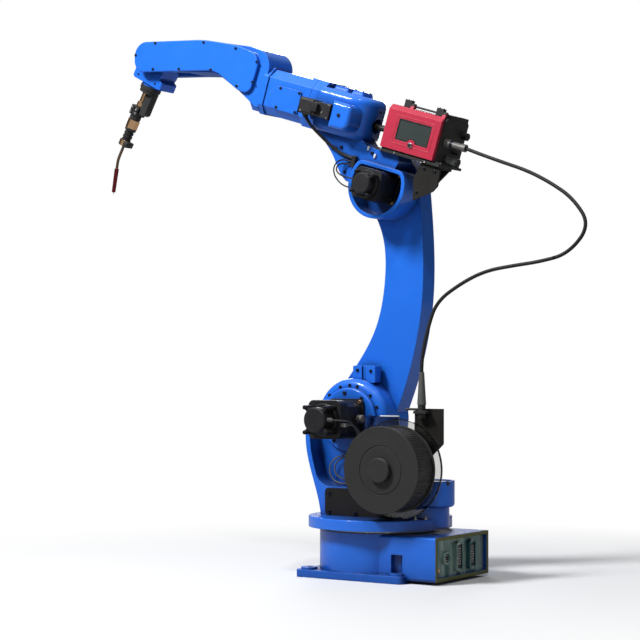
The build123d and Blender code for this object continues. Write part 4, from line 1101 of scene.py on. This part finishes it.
# Wire end at the torch's tip: a collar on the nozzle, and the wire in its contact tube
tipLook = {
    "from": Vector((0.416, 0, 0.022)), "to": Vector((0.449, 0, 0.011)),
    "ringAlong": 0.0904, "wireAlong": 0.0898,
    "ring": [(0.0026, -0.02), (0.0066, -0.02), (0.0066, -0.0006), (0.0026, -0.0006)],
    "wire": [(0, 0), (0.0026, 0), (0.0026, 0.0016), (0.0008, 0.0022), (0.0008, 0.0105), (0, 0.0107)],
}
tipDirection = (tipLook["to"] - tipLook["from"]).normalized()
ringSeat = seatAt(toolFrame, tipLook["to"] + tipDirection * tipLook["ringAlong"], tipDirection)
wireSeat = seatAt(toolFrame, tipLook["to"] + tipDirection * tipLook["wireAlong"], tipDirection)
placeCopies(turned(tipLook["ring"], 24), "tipRing", [ringSeat], "tool", "redCopper")
placeCopies(turned(tipLook["wire"], 16), "wireTip", [wireSeat], "tool", "brass")
print("small parts:", len(turnedParts) + len(blocks))


# Floor: a pale sheet that fades into the white background away from the robot
stageLook = {
    "size": 24.0, "color": (0.86, 0.87, 0.89), "fadeFrom": 0.5, "fadeTo": 2.2,
    "bounced": 0.45, "mirrored": 0.2, "below": 0.0005,
}


def whereSeen(tree):
    path = addNode(tree, "LightPath").outputs
    seen = combine(tree, "MAXIMUM", path["Is Camera Ray"], path["Is Transmission Ray"])
    return seen, path["Is Glossy Ray"]


def buildFloor():
    bm = bmesh.new()
    bmesh.ops.create_grid(bm, x_segments=1, y_segments=1, size=stageLook["size"] / 2)
    bmesh.ops.translate(bm, verts=bm.verts, vec=(0, 0, -stageLook["below"]))
    mesh = bpy.data.meshes.new("floor")
    bm.to_mesh(mesh)
    bm.free()
    material = bpy.data.materials.new("paleFloor")
    material.use_nodes = True
    tree = material.node_tree
    tree.nodes.clear()
    distance = addNode(
        tree, "VectorMath", {0: addNode(tree, "TexCoord").outputs["Object"]}, operation="LENGTH"
    ).outputs["Value"]
    fade = addNode(
        tree, "MapRange",
        {"Value": distance, "From Min": stageLook["fadeFrom"], "From Max": stageLook["fadeTo"]},
        interpolation_type="SMOOTHSTEP",
    ).outputs[0]
    seen, glossy = whereSeen(tree)
    mirrored = combine(tree, "MULTIPLY", glossy, stageLook["mirrored"])
    share = combine(tree, "MULTIPLY", fade, combine(tree, "MAXIMUM", seen, mirrored))
    bounced = stageLook["bounced"]
    shade = mixColor(tree, seen, (bounced, bounced, bounced, 1), (*stageLook["color"], 1))
    plain = addNode(tree, "BsdfDiffuse", {"Color": shade}).outputs[0]
    white = addNode(tree, "Emission", {"Color": (1, 1, 1, 1), "Strength": 1.0}).outputs[0]
    shown = addNode(tree, "MixShader", {0: share, 1: plain, 2: white}).outputs[0]
    tree.links.new(shown, addNode(tree, "OutputMaterial").inputs["Surface"])
    mesh.materials.append(material)
    floor = bpy.data.objects.new("floor", mesh)
    scene.collection.objects.link(floor)


buildFloor()

# Light: a white surround that only shows, a soft even sky, and lamps from the arm's front left
lamps = {
    "key": {"place": (1.6, 3.4, 4.6), "aim": (0.0, 0.0, 1.0), "size": 1.2, "power": 300.0},
    "top": {"place": (-1.5, 1.8, 4.6), "aim": (0.0, 0.0, 1.0), "size": 0.4, "power": 42.0},
    "far": {"place": (2.6, -4.2, 2.6), "aim": (0.1, 0.0, 0.9), "size": 2.2, "power": 85.0},
}
for name, facts in lamps.items():
    data = bpy.data.lights.new(name, "AREA")
    data.shape = "DISK"
    data.size = facts["size"]
    data.energy = facts["power"]
    lamp = bpy.data.objects.new(name, data)
    scene.collection.objects.link(lamp)
    lamp.location = facts["place"]
    aim = Vector(facts["aim"]) - Vector(facts["place"])
    lamp.rotation_euler = aim.to_track_quat("-Z", "Y").to_euler()

surround = {"ambient": 0.14, "horizon": 0.45, "zenith": 0.95, "reflectedLow": 0.07, "reflectedHigh": 1.1}
world = bpy.data.worlds.new("studio")
scene.world = world
world.use_nodes = True
worldTree = world.node_tree
worldTree.nodes.clear()
seen, glossy = whereSeen(worldTree)
direction = addNode(worldTree, "TexCoord").outputs["Generated"]
overhead = addNode(worldTree, "SeparateXYZ", {0: direction}).outputs["Z"]
reflectedRange = [surround[key] for key in ("horizon", "zenith", "reflectedLow", "reflectedHigh")]
reflected = spread(worldTree, overhead, *reflectedRange)
strength = addNode(worldTree, "Mix", {0: glossy, 2: surround["ambient"], 3: reflected}).outputs[0]
level = addNode(worldTree, "Mix", {0: seen, 2: strength, 3: 1.0}).outputs[0]
background = addNode(worldTree, "Background", {"Color": (1, 1, 1, 1), "Strength": level})
worldOutput = addNode(worldTree, "OutputWorld")
worldTree.links.new(background.outputs[0], worldOutput.inputs["Surface"])
print("floor and light set")
